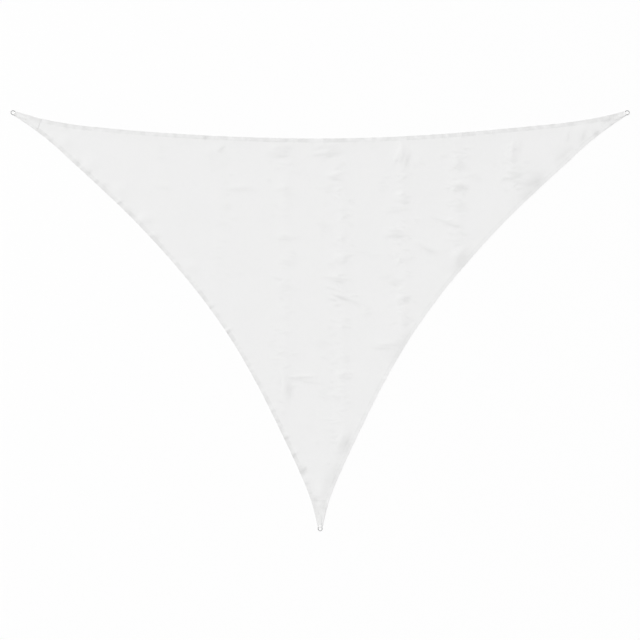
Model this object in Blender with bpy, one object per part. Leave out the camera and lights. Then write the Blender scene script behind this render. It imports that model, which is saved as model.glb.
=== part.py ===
"""A three-cornered shade sail of woven cloth, 6 x 5 x 5 m between its rings, lying flat as it was cut.

Metres, +Z up. The sail rests on z = 0, with its long edge towards +Y and its point towards -Y.
The origin is on that surface, under the middle of the sail's outer box.

Each corner has its own frame: +X runs from the ring's centre into the cloth, and +Y across the corner.
A D-ring is held there by a webbing strap, with one leg under the cloth and one over it.
"""

import math
from collections import namedtuple

import bmesh
import bpy
from mathutils import Vector
from mathutils.geometry import delaunay_2d_cdt

# Overall sizes
SPAN = 6.000  # between the ring centres at the ends of the long edge
DROP = 4.065  # from the long edge's ring line to the ring centre at the point
CORNER_SLOPE = math.radians(26.0)  # how far the upper corners point down into the cloth

# Cloth
CLOTH = 0.0012  # one layer, with its coating and weave
HEM_FOLD = 0.0010  # what the turned-over border adds
HEM_WIDTH = 0.040
HEM_STEP = 0.001  # half the width over which the hem drops to one layer
TIP = 0.024  # from a ring's centre to the cut end of the cloth
GAP = 0.0003  # between pieces that lie on each other

# Ring
WIRE = 0.006
RING_RADIUS = 0.019  # of the wire's centre line round the arc
BAR = 0.017  # from the arc's centre to the straight bar
BEND = 0.004  # of the wire's centre line where the sides meet the bar
ARC_STEPS = 16
BEND_STEPS = 3
WIRE_SIDES = 10

# Webbing strap
WEBBING = 0.0015
STRAP_WIDTH = 0.028
STRAP_END = 0.140  # from the ring's centre to the legs' ends
STRAP_DROP = 0.024  # over which the upper leg comes down from the bar to the patch
WRAP_STEPS = 10
DROP_STEPS = 4

# Corner patch
PATCH = 0.0010
PATCH_START = 0.029
PATCH_END = 0.285
PATCH_MARGIN = 0.003  # inside the cloth's edges

# The cloth lies over the strap's lower leg, and comes down to the surface past its end
LIFT = WEBBING + GAP
LIFT_END = 0.150
FLOOR_START = 0.230
FOLDS_START = 0.330  # no folds nearer to a ring than this

# How finely the cloth is divided
EDGE_STEP = 0.075  # along the edges and the hem's inner line
CREST_STEP = 0.180  # along the packing folds
FIELD_STEP = 0.400  # between the folds
LEAST_STEP = 0.012
FIELD_MARGIN = 0.060  # from the edges to the nearest point inside the hem
ACROSS_RIDGE = (-0.5, -0.25, 0.0, 0.25, 0.5)  # shares of a ridge's width that have points
ALONG_WRINKLE = (-0.27, 0.0, 0.27)  # shares of a wrinkle's length that have points
HALVINGS = 40  # when a place on an edge is searched for
SNAP = 1e-6  # points closer than this are one
SHARP = math.radians(40)  # the cloth's sharper edges aren't shaded smooth

Edge = namedtuple("Edge", "start end kind")
Hollow = namedtuple("Hollow", "share top side")
Corner = namedtuple("Corner", "ring turn")
PackingFold = namedtuple("PackingFold", "x width height start")
Wrinkle = namedtuple("Wrinkle", "x y length width height turn")
Wave = namedtuple("Wave", "length share start")

CORNERS = {
    "left": Corner(Vector((-SPAN / 2, DROP / 2)), -CORNER_SLOPE),
    "right": Corner(Vector((SPAN / 2, DROP / 2)), math.pi + CORNER_SLOPE),
    "bottom": Corner(Vector((0.0, -DROP / 2)), math.pi / 2),
}

EDGES = {
    "top": Edge("left", "right", kind="top"),
    "left side": Edge("left", "bottom", kind="side"),
    "right side": Edge("right", "bottom", kind="side"),
}

# How far the edges are cut inside the straight line between their rings, at a share of the way along it.
# They spread a little past that line at its ends, where the cloth's corners are cut square.
HOLLOWS = (
    Hollow(share=0.00, top=-0.021, side=-0.020),
    Hollow(share=0.05, top=0.063, side=0.069),
    Hollow(share=0.10, top=0.117, side=0.137),
    Hollow(share=0.15, top=0.149, side=0.185),
    Hollow(share=0.20, top=0.177, side=0.235),
    Hollow(share=0.30, top=0.217, side=0.323),
    Hollow(share=0.40, top=0.243, side=0.381),
    Hollow(share=0.50, top=0.252, side=0.410),
    Hollow(share=0.60, top=0.240, side=0.400),
    Hollow(share=0.70, top=0.207, side=0.345),
    Hollow(share=0.80, top=0.156, side=0.258),
    Hollow(share=0.90, top=0.097, side=0.155),
    Hollow(share=0.95, top=0.050, side=0.085),
    Hollow(share=1.00, top=-0.021, side=-0.022),
)

# Where the sail was folded lengthwise to be packed. Each fold stands up as a low soft ridge, whose height
# swells and falls along it from the phase "start".
FOLD_SWELL = Wave(length=1.46, share=0.3, start=0.0)
PACKING_FOLDS = (
    PackingFold(x=-1.56, width=0.10, height=0.0012, start=0.3),
    PackingFold(x=-0.98, width=0.11, height=0.0015, start=1.4),
    PackingFold(x=-0.34, width=0.13, height=0.0024, start=2.2),
    PackingFold(x=0.215, width=0.13, height=0.0027, start=3.9),
    PackingFold(x=0.81, width=0.14, height=0.0030, start=0.8),
    PackingFold(x=1.34, width=0.13, height=0.0027, start=5.1),
    PackingFold(x=1.875, width=0.12, height=0.0027, start=2.7),
)

# Short wrinkles left across the packing folds, turned anticlockwise from +X by "turn" degrees.
WRINKLES = (
    Wrinkle(x=-1.53, y=1.32, length=0.22, width=0.06, height=0.0020, turn=0),
    Wrinkle(x=-1.02, y=1.62, length=0.26, width=0.08, height=0.0030, turn=-30),
    Wrinkle(x=-0.76, y=1.30, length=0.42, width=0.06, height=0.0025, turn=0),
    Wrinkle(x=-0.93, y=1.13, length=0.16, width=0.06, height=0.0025, turn=8),
    Wrinkle(x=-0.39, y=1.66, length=0.30, width=0.14, height=0.0045, turn=-4),
    Wrinkle(x=-0.34, y=1.29, length=0.24, width=0.07, height=0.0030, turn=0),
    Wrinkle(x=-0.32, y=0.83, length=0.22, width=0.07, height=0.0030, turn=-3),
    Wrinkle(x=-0.28, y=0.60, length=0.20, width=0.09, height=0.0030, turn=-6),
    Wrinkle(x=-0.36, y=0.34, length=0.24, width=0.07, height=0.0025, turn=12),
    Wrinkle(x=-0.32, y=-0.69, length=0.32, width=0.12, height=0.0045, turn=80),
    Wrinkle(x=-0.12, y=-0.545, length=0.30, width=0.05, height=0.0025, turn=-9),
    Wrinkle(x=0.08, y=1.66, length=0.32, width=0.14, height=0.0045, turn=14),
    Wrinkle(x=0.13, y=1.42, length=0.26, width=0.07, height=0.0040, turn=2),
    Wrinkle(x=0.05, y=0.95, length=0.20, width=0.06, height=0.0025, turn=-8),
    Wrinkle(x=0.21, y=0.61, length=0.20, width=0.14, height=0.0040, turn=-30),
    Wrinkle(x=0.20, y=0.39, length=0.40, width=0.07, height=0.0045, turn=-14),
    Wrinkle(x=0.26, y=0.22, length=0.36, width=0.08, height=0.0045, turn=-26),
    Wrinkle(x=0.22, y=-0.08, length=0.18, width=0.09, height=0.0030, turn=-20),
    Wrinkle(x=0.24, y=-0.53, length=0.24, width=0.08, height=0.0030, turn=4),
    Wrinkle(x=0.10, y=-0.73, length=0.24, width=0.07, height=0.0030, turn=-8),
    Wrinkle(x=0.22, y=-1.16, length=0.24, width=0.12, height=0.0040, turn=70),
    Wrinkle(x=0.80, y=1.62, length=0.24, width=0.16, height=0.0045, turn=78),
    Wrinkle(x=0.80, y=1.22, length=0.24, width=0.12, height=0.0045, turn=6),
    Wrinkle(x=0.74, y=0.85, length=0.30, width=0.08, height=0.0045, turn=3),
    Wrinkle(x=1.02, y=0.73, length=0.30, width=0.06, height=0.0040, turn=-22),
    Wrinkle(x=0.69, y=0.40, length=0.24, width=0.07, height=0.0030, turn=5),
    Wrinkle(x=0.82, y=0.24, length=0.22, width=0.12, height=0.0045, turn=-10),
    Wrinkle(x=0.66, y=-0.22, length=0.30, width=0.07, height=0.0040, turn=2),
    Wrinkle(x=1.35, y=1.54, length=0.24, width=0.08, height=0.0030, turn=-12),
    Wrinkle(x=1.37, y=1.33, length=0.26, width=0.08, height=0.0040, turn=3),
    Wrinkle(x=1.27, y=0.97, length=0.30, width=0.08, height=0.0040, turn=-8),
    Wrinkle(x=1.36, y=0.66, length=0.30, width=0.14, height=0.0050, turn=46),
    Wrinkle(x=1.88, y=1.62, length=0.30, width=0.12, height=0.0040, turn=84),
    Wrinkle(x=2.02, y=1.38, length=0.34, width=0.14, height=0.0050, turn=24),
)

# The hem draws up in waves. Their three lengths don't repeat together, so no two puckers are alike.
PUCKER = 0.005
PUCKER_WAVES = (
    Wave(length=0.31, share=0.45, start=0.0),
    Wave(length=0.47, share=0.30, start=1.0),
    Wave(length=1.13, share=0.25, start=2.4),
)


def edge_line(edge):
    """The straight line between an edge's two rings: where it starts, its run, and the way into the cloth."""
    start, end = CORNERS[edge.start].ring, CORNERS[edge.end].ring
    run = end - start
    inward = Vector((-run.y, run.x)).normalized()
    if inward.dot(-start) < 0:
        inward.negate()
    return start, run, inward


def hollow_slope(i, kind):
    """How fast an edge's hollow deepens at one row, by the rows before and after it."""
    before, after = HOLLOWS[max(i - 1, 0)], HOLLOWS[min(i + 1, len(HOLLOWS) - 1)]
    return (getattr(after, kind) - getattr(before, kind)) / (after.share - before.share)


def hollow(edge, fraction):
    """How far an edge lies inside its straight line: a smooth curve through the rows of HOLLOWS."""
    i = max(k for k, row in enumerate(HOLLOWS[:-1]) if row.share <= fraction)
    here, there = HOLLOWS[i], HOLLOWS[i + 1]
    run = there.share - here.share
    t = (fraction - here.share) / run
    leaving = hollow_slope(i, edge.kind) * run
    arriving = hollow_slope(i + 1, edge.kind) * run
    rise = getattr(there, edge.kind) - getattr(here, edge.kind)
    ease = t * t * (3 - 2 * t)
    return getattr(here, edge.kind) + rise * ease + t * (1 - t) * ((1 - t) * leaving - t * arriving)


def edge_point(edge, fraction, inset=0.0):
    start, run, inward = edge_line(edge)
    return start + run * fraction + inward * (hollow(edge, fraction) + inset)


def edge_place(edge, point):
    """A point's fraction along an edge, and how far it lies inside it."""
    start, run, inward = edge_line(edge)
    fraction = (point - start).dot(run) / run.length_squared
    fraction = min(max(fraction, 0.0), 1.0)
    return fraction, (point - start).dot(inward) - hollow(edge, fraction)


def to_corner(corner, point):
    """A point in a corner's own frame: its distance into the cloth, and across."""
    into = Vector((math.cos(corner.turn), math.sin(corner.turn)))
    offset = point - corner.ring
    return offset.dot(into), into.cross(offset)


def edge_fraction(edge, corner_name, distance):
    """The fraction along an edge that lies a given distance into the cloth from a corner's ring."""
    near, far = (0.0, 0.5) if corner_name == edge.start else (1.0, 0.5)
    for _ in range(HALVINGS):
        middle = (near + far) / 2
        if to_corner(CORNERS[corner_name], edge_point(edge, middle))[0] < distance:
            near = middle
        else:
            far = middle
    return (near + far) / 2


def corner_sides(corner_name, distance):
    """How far across the cloth reaches to either side, at a distance into it from a corner's ring."""
    across = []
    for edge in EDGES.values():
        if corner_name in (edge.start, edge.end):
            point = edge_point(edge, edge_fraction(edge, corner_name, distance))
            across.append(to_corner(CORNERS[corner_name], point)[1])
    return min(across), max(across)


def corner_lift(distance):
    """How high the cloth lies over the strap's lower leg, at a distance from the ring."""
    share = (FLOOR_START - distance) / (FLOOR_START - LIFT_END)
    return LIFT * min(max(share, 0.0), 1.0)


def ridge(across, width):
    """A soft ridge: 1 on its crest and 0 at its feet."""
    share = min(abs(across) / (width / 2), 1.0)
    return (1 + math.cos(math.pi * share)) / 2


def wave_height(wave, place, start=0.0):
    return wave.share * math.sin(math.tau * place / wave.length + wave.start + start)


def fold_height(fold, point):
    swell = 1 - FOLD_SWELL.share + wave_height(FOLD_SWELL, point.y, fold.start)
    return fold.height * swell * ridge(point.x - fold.x, fold.width)


def wrinkle_height(wrinkle, point):
    turn = math.radians(wrinkle.turn)
    offset = point - Vector((wrinkle.x, wrinkle.y))
    along = offset.x * math.cos(turn) + offset.y * math.sin(turn)
    across = offset.y * math.cos(turn) - offset.x * math.sin(turn)
    return wrinkle.height * ridge(across, wrinkle.width) * ridge(along, wrinkle.length)


def pucker_height(edge, fraction, inset):
    """How far the hem is drawn up off the surface: most at its outer edge, and nothing at its inner line."""
    place = fraction * edge_line(edge)[1].length
    height = PUCKER * sum(wave_height(wave, place) for wave in PUCKER_WAVES)
    return max(0.0, height) * (1 - inset / HEM_WIDTH)


def underside(point):
    """How far the cloth's underside stands above the surface that it lies on."""
    nearest = min(to_corner(corner, point)[0] for corner in CORNERS.values())
    if nearest < FOLDS_START:
        return corner_lift(nearest)
    height = max(fold_height(fold, point) for fold in PACKING_FOLDS)
    height += max(wrinkle_height(wrinkle, point) for wrinkle in WRINKLES)
    for edge in EDGES.values():
        fraction, inset = edge_place(edge, point)
        if inset < HEM_WIDTH:
            height = pucker_height(edge, fraction, inset)
    return height


def thickness(point):
    inset = min(edge_place(edge, point)[1] for edge in EDGES.values())
    return CLOTH + (HEM_FOLD if inset < HEM_WIDTH else 0.0)


def edge_fractions(edge):
    """The fractions at which an edge has points: at its corners' own lines, and evenly between them."""
    lines = (TIP, LIFT_END, FLOOR_START)
    first = [edge_fraction(edge, edge.start, distance) for distance in lines]
    last = [edge_fraction(edge, edge.end, distance) for distance in reversed(lines)]
    steps = round((last[0] - first[-1]) * edge_line(edge)[1].length / EDGE_STEP)
    between = [first[-1] + (last[0] - first[-1]) * i / steps for i in range(1, steps)]
    return first + between + last


def field_points():
    """Points inside the hem: a wide grid, and the crests and feet of the folds and wrinkles."""
    points = []
    columns = round(SPAN / FIELD_STEP)
    rows = round(DROP / FIELD_STEP)
    for i in range(columns + 1):
        for j in range(rows + 1):
            points.append(Vector((-SPAN / 2 + i * FIELD_STEP, -DROP / 2 + j * FIELD_STEP)))
    for fold in PACKING_FOLDS:
        for j in range(round(DROP / CREST_STEP)):
            for share in ACROSS_RIDGE:
                points.append(Vector((fold.x + share * fold.width, DROP / 2 - j * CREST_STEP)))
    for wrinkle in WRINKLES:
        turn = math.radians(wrinkle.turn)
        along = Vector((math.cos(turn), math.sin(turn))) * wrinkle.length
        across = Vector((-math.sin(turn), math.cos(turn))) * wrinkle.width
        middle = Vector((wrinkle.x, wrinkle.y))
        points += [middle - along / 2, middle + along / 2]
        for share in ALONG_WRINKLE:
            points += [middle + along * share + across * side for side in ACROSS_RIDGE]
    return [
        point
        for point in points
        if min(edge_place(edge, point)[1] for edge in EDGES.values()) > FIELD_MARGIN
        and min(to_corner(corner, point)[0] for corner in CORNERS.values()) > FOLDS_START
    ]


def spread_out(points, least):
    """The points without those that lie closer than "least" to one before them."""
    kept = []
    for point in points:
        if all((point - other).length > least for other in kept):
            kept.append(point)
    return kept


def sail_outline():
    """The cloth's outline, anticlockwise."""
    loop = []
    for name, backwards in (("left side", False), ("right side", True), ("top", True)):
        fractions = edge_fractions(EDGES[name])
        if backwards:
            fractions = fractions[::-1]
        loop += [edge_point(EDGES[name], fraction) for fraction in fractions]
    return loop


def sail_panel():
    """The cloth as one closed solid: its outline is filled with triangles, raised and thickened."""
    points = sail_outline()
    outline = list(range(len(points)))
    lines = []

    def add_line(line):
        lines.extend((len(points) + i, len(points) + i + 1) for i in range(len(line) - 1))
        points.extend(line)

    for edge in EDGES.values():
        inner = edge_fractions(edge)[2:-2]  # between the two corners' last lines
        for inset in (HEM_WIDTH - HEM_STEP, HEM_WIDTH + HEM_STEP):
            add_line([edge_point(edge, fraction, inset) for fraction in inner])
    for name in CORNERS:
        for distance in (LIFT_END, FLOOR_START):
            ends = [
                edge_point(edge, edge_fraction(edge, name, distance))
                for edge in EDGES.values()
                if name in (edge.start, edge.end)
            ]
            add_line(ends)
    points += spread_out(field_points(), LEAST_STEP)

    places, _, faces, _, _, owners = delaunay_2d_cdt(points, lines, [outline], 0, SNAP, True)
    bm = bmesh.new()
    vertices = [bm.verts.new((place.x, place.y, underside(place))) for place in places]
    for face, owner in zip(faces, owners):
        if owner:  # the others fill the hollows outside the outline
            bm.faces.new([vertices[i] for i in reversed(face)])
    raised = bmesh.ops.extrude_face_region(bm, geom=bm.faces[:], use_keep_orig=True)["geom"]
    for vertex in (item for item in raised if isinstance(item, bmesh.types.BMVert)):
        vertex.co.z += thickness(vertex.co.xy)
    bmesh.ops.recalc_face_normals(bm, faces=bm.faces[:])
    panel = mesh_object("sail_panel", bm, CLOTH_WHITE)
    panel.data.shade_smooth()
    panel.data.set_sharp_from_angle(angle=SHARP)
    return panel


def corner_patch(name):
    """A wedge of cloth that lies over a corner, a little inside its edges."""
    bm = bmesh.new()
    rows = []
    for distance in (PATCH_START, LIFT_END, FLOOR_START, PATCH_END):
        low, high = corner_sides(name, distance)
        height = corner_lift(distance) + CLOTH + HEM_FOLD + GAP
        sides = (low + PATCH_MARGIN, high - PATCH_MARGIN)
        rows.append([bm.verts.new((distance, across, height)) for across in sides])
    for (a, b), (c, d) in zip(rows, rows[1:]):
        bm.faces.new((a, c, d, b))
    patch = mesh_object(f"corner_patch_{name}", bm, CLOTH_WHITE)
    add_thickness(patch, PATCH, rise=1.0)
    return patch


def strap_line():
    """The strap's middle line, as distances from the ring's centre and heights: under the cloth, round the
    ring's bar and back over the patch."""
    low = WEBBING / 2
    wrap = WIRE / 2 + GAP + WEBBING / 2
    bar_height = low + wrap
    top = LIFT + CLOTH + HEM_FOLD + GAP + PATCH + GAP + WEBBING / 2
    line = [(STRAP_END, low)]
    for i in range(WRAP_STEPS + 1):
        turn = math.pi * i / WRAP_STEPS
        line.append((BAR - wrap * math.sin(turn), bar_height - wrap * math.cos(turn)))
    rest_height = bar_height + wrap
    for i in range(1, DROP_STEPS + 1):
        share = i / DROP_STEPS
        ease = share * share * (3 - 2 * share)
        line.append((BAR + STRAP_DROP * share, rest_height + (top - rest_height) * ease))
    line.append((STRAP_END, top))
    return line


def ring_strap(name):
    bm = bmesh.new()
    rows = []
    for distance, height in strap_line():
        rows.append([bm.verts.new((distance, side * STRAP_WIDTH / 2, height)) for side in (-1, 1)])
    for (a, b), (c, d) in zip(rows, rows[1:]):
        bm.faces.new((a, c, d, b))
    strap = mesh_object(f"ring_strap_{name}", bm, WEBBING_WHITE)
    add_thickness(strap, WEBBING, rise=0.0)
    return strap


def ring_line():
    """The ring wire's middle line: an arc, two short sides, and a bar joined by tight bends."""
    bar_height = WIRE / 2 + GAP + WEBBING
    fall = (bar_height - WIRE / 2) / (BAR + RING_RADIUS)
    flat = []
    for i in range(ARC_STEPS + 1):
        turn = math.pi / 2 + math.pi * i / ARC_STEPS
        flat.append((RING_RADIUS * math.cos(turn), RING_RADIUS * math.sin(turn)))
    for side in (-1, 1):
        bend = []
        for i in range(BEND_STEPS + 1):
            turn = math.pi / 2 * i / BEND_STEPS
            bend.append((
                BAR - BEND + BEND * math.sin(turn),
                side * (RING_RADIUS - BEND + BEND * math.cos(turn)),
            ))
        flat += bend if side < 0 else bend[::-1]
    return [(x, y, bar_height - (BAR - x) * fall) for x, y in flat]


def d_ring(name):
    """The ring's wire as a closed curve with a round section."""
    curve = bpy.data.curves.new(f"ring_{name}", "CURVE")
    curve.dimensions = "3D"
    curve.bevel_depth = WIRE / 2
    curve.bevel_resolution = WIRE_SIDES // 2 - 2
    spline = curve.splines.new("POLY")
    line = ring_line()
    spline.points.add(len(line) - 1)
    for point, place in zip(spline.points, line):
        point.co = (*place, 1.0)
    spline.use_cyclic_u = True
    curve.materials.append(STEEL)
    ring = bpy.data.objects.new(f"ring_{name}", curve)
    bpy.context.scene.collection.objects.link(ring)
    return ring


def add_thickness(piece, thick, rise):
    """Thickens a sheet: upwards with rise 1, and evenly to both sides with rise 0."""
    solid = piece.modifiers.new("Thickness", "SOLIDIFY")
    solid.thickness = thick
    solid.offset = rise
    solid.use_even_offset = True


def mesh_object(name, bm, finish):
    mesh = bpy.data.meshes.new(name)
    bm.to_mesh(mesh)
    bm.free()
    mesh.materials.append(finish)
    piece = bpy.data.objects.new(name, mesh)
    bpy.context.scene.collection.objects.link(piece)
    return piece


def corner_frame(name):
    """An empty at a corner's ring, turned so that its +X runs into the cloth."""
    frame = bpy.data.objects.new(f"corner_{name}", None)
    frame.location = (*CORNERS[name].ring, 0.0)
    frame.rotation_euler.z = CORNERS[name].turn
    bpy.context.scene.collection.objects.link(frame)
    return frame


def material(name, colour, roughness, metallic=0.0):
    finish = bpy.data.materials.new(name)
    finish.use_nodes = True
    shader = finish.node_tree.nodes["Principled BSDF"]
    shader.inputs["Base Color"].default_value = (*colour, 1.0)
    shader.inputs["Roughness"].default_value = roughness
    shader.inputs["Metallic"].default_value = metallic
    return finish


for old in list(bpy.data.objects):
    bpy.data.objects.remove(old)

CLOTH_WHITE = material("cloth_white", (0.84, 0.84, 0.83), 0.8)
WEBBING_WHITE = material("webbing_white", (0.86, 0.86, 0.85), 0.7)
STEEL = material("stainless_steel", (0.62, 0.63, 0.64), 0.28, 1.0)

sail_panel()
for corner_name in CORNERS:
    frame = corner_frame(corner_name)
    for piece in (corner_patch(corner_name), ring_strap(corner_name), d_ring(corner_name)):
        piece.parent = frame
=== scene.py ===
# %% [markdown]
# # A three-cornered shade sail, laid out flat
#
# A shade sail is one cut of woven polyester with three hollow edges. Each edge is turned over and sewn down
# as a hem, each corner carries a patch, and a strap of webbing holds a steel D-ring there.
# This lesson dresses the sail's plain solids. They arrive as a fixed frame in metres, with +Z up and the
# sail lying on z = 0, and every piece made below goes exactly where its solid lies.

# %% Load the frame
import math
from collections import namedtuple

import bmesh
import bpy
import numpy as np
from mathutils import Matrix, Vector
from mathutils.bvhtree import BVHTree
from mathutils.geometry import delaunay_2d_cdt


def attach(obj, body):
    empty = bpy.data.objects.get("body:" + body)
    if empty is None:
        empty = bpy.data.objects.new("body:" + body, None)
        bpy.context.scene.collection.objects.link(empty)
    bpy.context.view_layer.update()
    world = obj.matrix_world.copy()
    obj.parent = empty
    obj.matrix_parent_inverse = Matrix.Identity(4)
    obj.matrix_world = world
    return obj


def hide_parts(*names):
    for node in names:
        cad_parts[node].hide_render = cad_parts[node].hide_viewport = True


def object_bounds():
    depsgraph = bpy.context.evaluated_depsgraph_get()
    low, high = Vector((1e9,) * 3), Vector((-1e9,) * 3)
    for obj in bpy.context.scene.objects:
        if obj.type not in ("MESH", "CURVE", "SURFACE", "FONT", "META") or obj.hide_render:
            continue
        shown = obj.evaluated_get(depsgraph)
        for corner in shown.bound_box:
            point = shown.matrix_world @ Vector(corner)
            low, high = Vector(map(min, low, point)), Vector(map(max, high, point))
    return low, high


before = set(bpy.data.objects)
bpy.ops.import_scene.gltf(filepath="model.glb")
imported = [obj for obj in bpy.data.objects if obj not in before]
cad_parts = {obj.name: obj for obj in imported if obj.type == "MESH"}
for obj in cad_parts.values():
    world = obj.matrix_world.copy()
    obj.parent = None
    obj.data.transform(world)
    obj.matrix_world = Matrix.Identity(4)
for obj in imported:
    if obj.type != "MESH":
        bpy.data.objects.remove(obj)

bpy.ops.object.select_all(action="DESELECT")
solids_box = [list(corner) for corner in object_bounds()]
print("the solids reach from", solids_box[0], "to", solids_box[1])

# %% [markdown]
# ## The camera
#
# The sail is seen face on, from straight above. A long lens far away keeps its far corners from spreading.
# The picture is square, so one number, its width on the sail, sets both sides.

# %% Camera
PICTURE_WIDTH = 6.251  # of the sail's plane, in metres
CAMERA_HEIGHT = 16.0
CAMERA_PLACE = (-0.001, 0.007)  # the picture's middle on the sail
FARTHEST = 100.0  # that the camera sees


def link_object(name, data):
    """A new object in the scene that carries the data."""
    thing = bpy.data.objects.new(name, data)
    bpy.context.scene.collection.objects.link(thing)
    return thing


camera_data = bpy.data.cameras.new("camera")
camera_data.sensor_width = 36.0
camera_data.lens = camera_data.sensor_width * CAMERA_HEIGHT / PICTURE_WIDTH
camera_data.clip_end = FARTHEST
camera = link_object("camera", camera_data)
camera.location = (*CAMERA_PLACE, CAMERA_HEIGHT)
bpy.context.scene.camera = camera
print(f"camera {CAMERA_HEIGHT:.1f} m up, with a {camera_data.lens:.0f} mm lens")

# %% [markdown]
# ## Floor and light
#
# The floor is a white table that glows a little, so that so thin a sail throws hardly any shadow on it.
# White cloth on white shows its folds only if the light has a direction. A third of it here comes evenly
# from a white sky. Most of the rest comes from a wide light overhead, under which anything steep looks
# darker. One soft key on the left, beyond the long edge, rakes over the low folds and gives them a light and
# a dark side. A lamp further left adds the little that makes the cloth brighter on that side.

# %% Floor
FLOOR_DROP = 0.0004  # under the cloth, so that the two never share a plane
FLOOR_SIZE = 120.0
FLOOR_WHITE = 0.30
FLOOR_GLOW = 0.69
WHITE = (1, 1, 1, 1)


def set_sockets(node, **values):
    """Sets sockets of a node to plain values. An underscore in a name stands for a space."""
    for name, value in values.items():
        node.inputs[name.replace("_", " ")].default_value = value


bpy.ops.mesh.primitive_plane_add(size=FLOOR_SIZE, location=(0, 0, -FLOOR_DROP))
floor = bpy.context.object
floor.name = "floor"
table = bpy.data.materials.new("light_table")
table.use_nodes = True
surface = table.node_tree.nodes["Principled BSDF"]
set_sockets(surface, Base_Color=(*[FLOOR_WHITE] * 3, 1), Roughness=0.9, Specular_IOR_Level=0.0)
set_sockets(surface, Emission_Color=WHITE, Emission_Strength=FLOOR_GLOW)
floor.data.materials.append(table)
print("the floor lies", 1000 * FLOOR_DROP, "mm under the cloth")

# %% Sky and lights
SKY = 0.33
Sun = namedtuple("Sun", "name share spread where")  # its share of the light, its width, and where it stands
OVERHEAD = Sun("overhead", share=0.42, spread=50, where=Vector((-0.10, 0.16, 1.0)))
KEY = Sun("key", share=0.24, spread=30, where=Vector((-0.75, 0.85, 0.75)))
SIDE_PLACE = Vector((-9.0, 3.0, 5.0))
SIDE_SIZE = 3.0
SIDE_POWER = 24.0

world = bpy.data.worlds.new("studio")
bpy.context.scene.world = world
world.use_nodes = True
nodes, links = world.node_tree.nodes, world.node_tree.links
sky = nodes["Background"]
set_sockets(sky, Color=WHITE, Strength=SKY)
backdrop = nodes.new("ShaderNodeBackground")  # what the camera sees beyond the table, as white as the table
set_sockets(backdrop, Color=WHITE, Strength=FLOOR_WHITE + FLOOR_GLOW)
choice = nodes.new("ShaderNodeMixShader")
links.new(nodes.new("ShaderNodeLightPath").outputs["Is Camera Ray"], choice.inputs["Fac"])
links.new(sky.outputs[0], choice.inputs[1])
links.new(backdrop.outputs[0], choice.inputs[2])
links.new(choice.outputs[0], nodes["World Output"].inputs["Surface"])
bpy.context.scene.view_settings.view_transform = "Standard"


def aim(light, towards):
    light.rotation_euler = Vector(towards).to_track_quat("-Z", "Y").to_euler()


for sun in (OVERHEAD, KEY):
    bpy.ops.object.light_add(type="SUN")
    light = bpy.context.object
    light.name = sun.name
    slant = sun.where.angle(Vector((0, 0, 1)))
    light.data.energy = math.pi * sun.share / math.cos(slant)
    light.data.angle = math.radians(sun.spread)
    aim(light, -sun.where)
    print("the", sun.name, "light is", round(math.degrees(slant)), "degrees off the zenith")

bpy.ops.object.light_add(type="AREA", location=SIDE_PLACE)
side = bpy.context.object
side.name = "side"
side.data.energy = SIDE_POWER
side.data.size = SIDE_SIZE
aim(side, -SIDE_PLACE)
bpy.ops.object.select_all(action="DESELECT")

# %% [markdown]
# ## Sizes that the pieces share
#
# A sail like this is cut from cloth well under a millimetre thick. It is modelled a little thicker, so that
# its layers stay apart where they are sewn on each other: two in the hem, and two more in a corner patch.
# Each corner has a frame of its own, with +X running from its ring into the cloth.

# %% Sizes
SPAN = 6.000  # between the rings of the long edge
DROP = 4.065  # from there to the lower ring
CORNER_SLOPE = math.radians(26.0)
NEAR_CORNER = SPAN / 4  # less than this into a corner, an edge's points belong to it

CLOTH = 0.0005
LAYER_GAP = 0.0001
LAYER_STEP = CLOTH + LAYER_GAP  # from one layer to the next
HEM = 0.040

Corner = namedtuple("Corner", "ring turn")
CORNERS = {
    "left": Corner(Vector((-SPAN / 2, DROP / 2, 0.0)), -CORNER_SLOPE),
    "right": Corner(Vector((SPAN / 2, DROP / 2, 0.0)), math.pi + CORNER_SLOPE),
    "bottom": Corner(Vector((0.0, -DROP / 2, 0.0)), math.pi / 2),
}


def corner_matrix(name):
    corner = CORNERS[name]
    return Matrix.Translation(corner.ring) @ Matrix.Rotation(corner.turn, 4, "Z")


def corner_axes(name):
    """The directions into the cloth and across it, as the columns of a matrix."""
    turn = CORNERS[name].turn
    return np.array(((math.cos(turn), -math.sin(turn)), (math.sin(turn), math.cos(turn))))


def to_corner(name, points):
    """Points of the sail in a corner's own frame: how far into the cloth, and how far across."""
    return (points - np.array(CORNERS[name].ring.xy)) @ corner_axes(name)


def from_corner(name, points):
    return np.array(CORNERS[name].ring.xy) + points @ corner_axes(name).T


def ease(share):
    """A smooth step from 0 to 1."""
    share = np.clip(share, 0.0, 1.0)
    return share * share * (3 - 2 * share)


print("two layers of cloth are", round(1000 * (CLOTH + LAYER_STEP), 2), "mm thick")

# %% [markdown]
# ## Shader groups
#
# Three effects are used by more than one finish, so each is a node group made once: a plain weave, a slow
# unevenness, and fine scratches. A group only puts out values; the shaders stay in the materials.
# A few small helpers add a node and do one step of arithmetic, so that the recipes below read like formulas.

# %% Helpers for nodes
def add_node(tree, kind, **settings):
    node = tree.nodes.new(kind)
    for name, value in settings.items():
        setattr(node, name, value)
    return node


def feed(tree, socket, value):
    """Links a socket to another one, or sets it to a plain value."""
    if isinstance(value, bpy.types.NodeSocket):
        tree.links.new(value, socket)
    else:
        socket.default_value = value


def maths(tree, operation, *values):
    node = add_node(tree, "ShaderNodeMath", operation=operation)
    for socket, value in zip(node.inputs, values):
        feed(tree, socket, value)
    return node.outputs[0]


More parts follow.
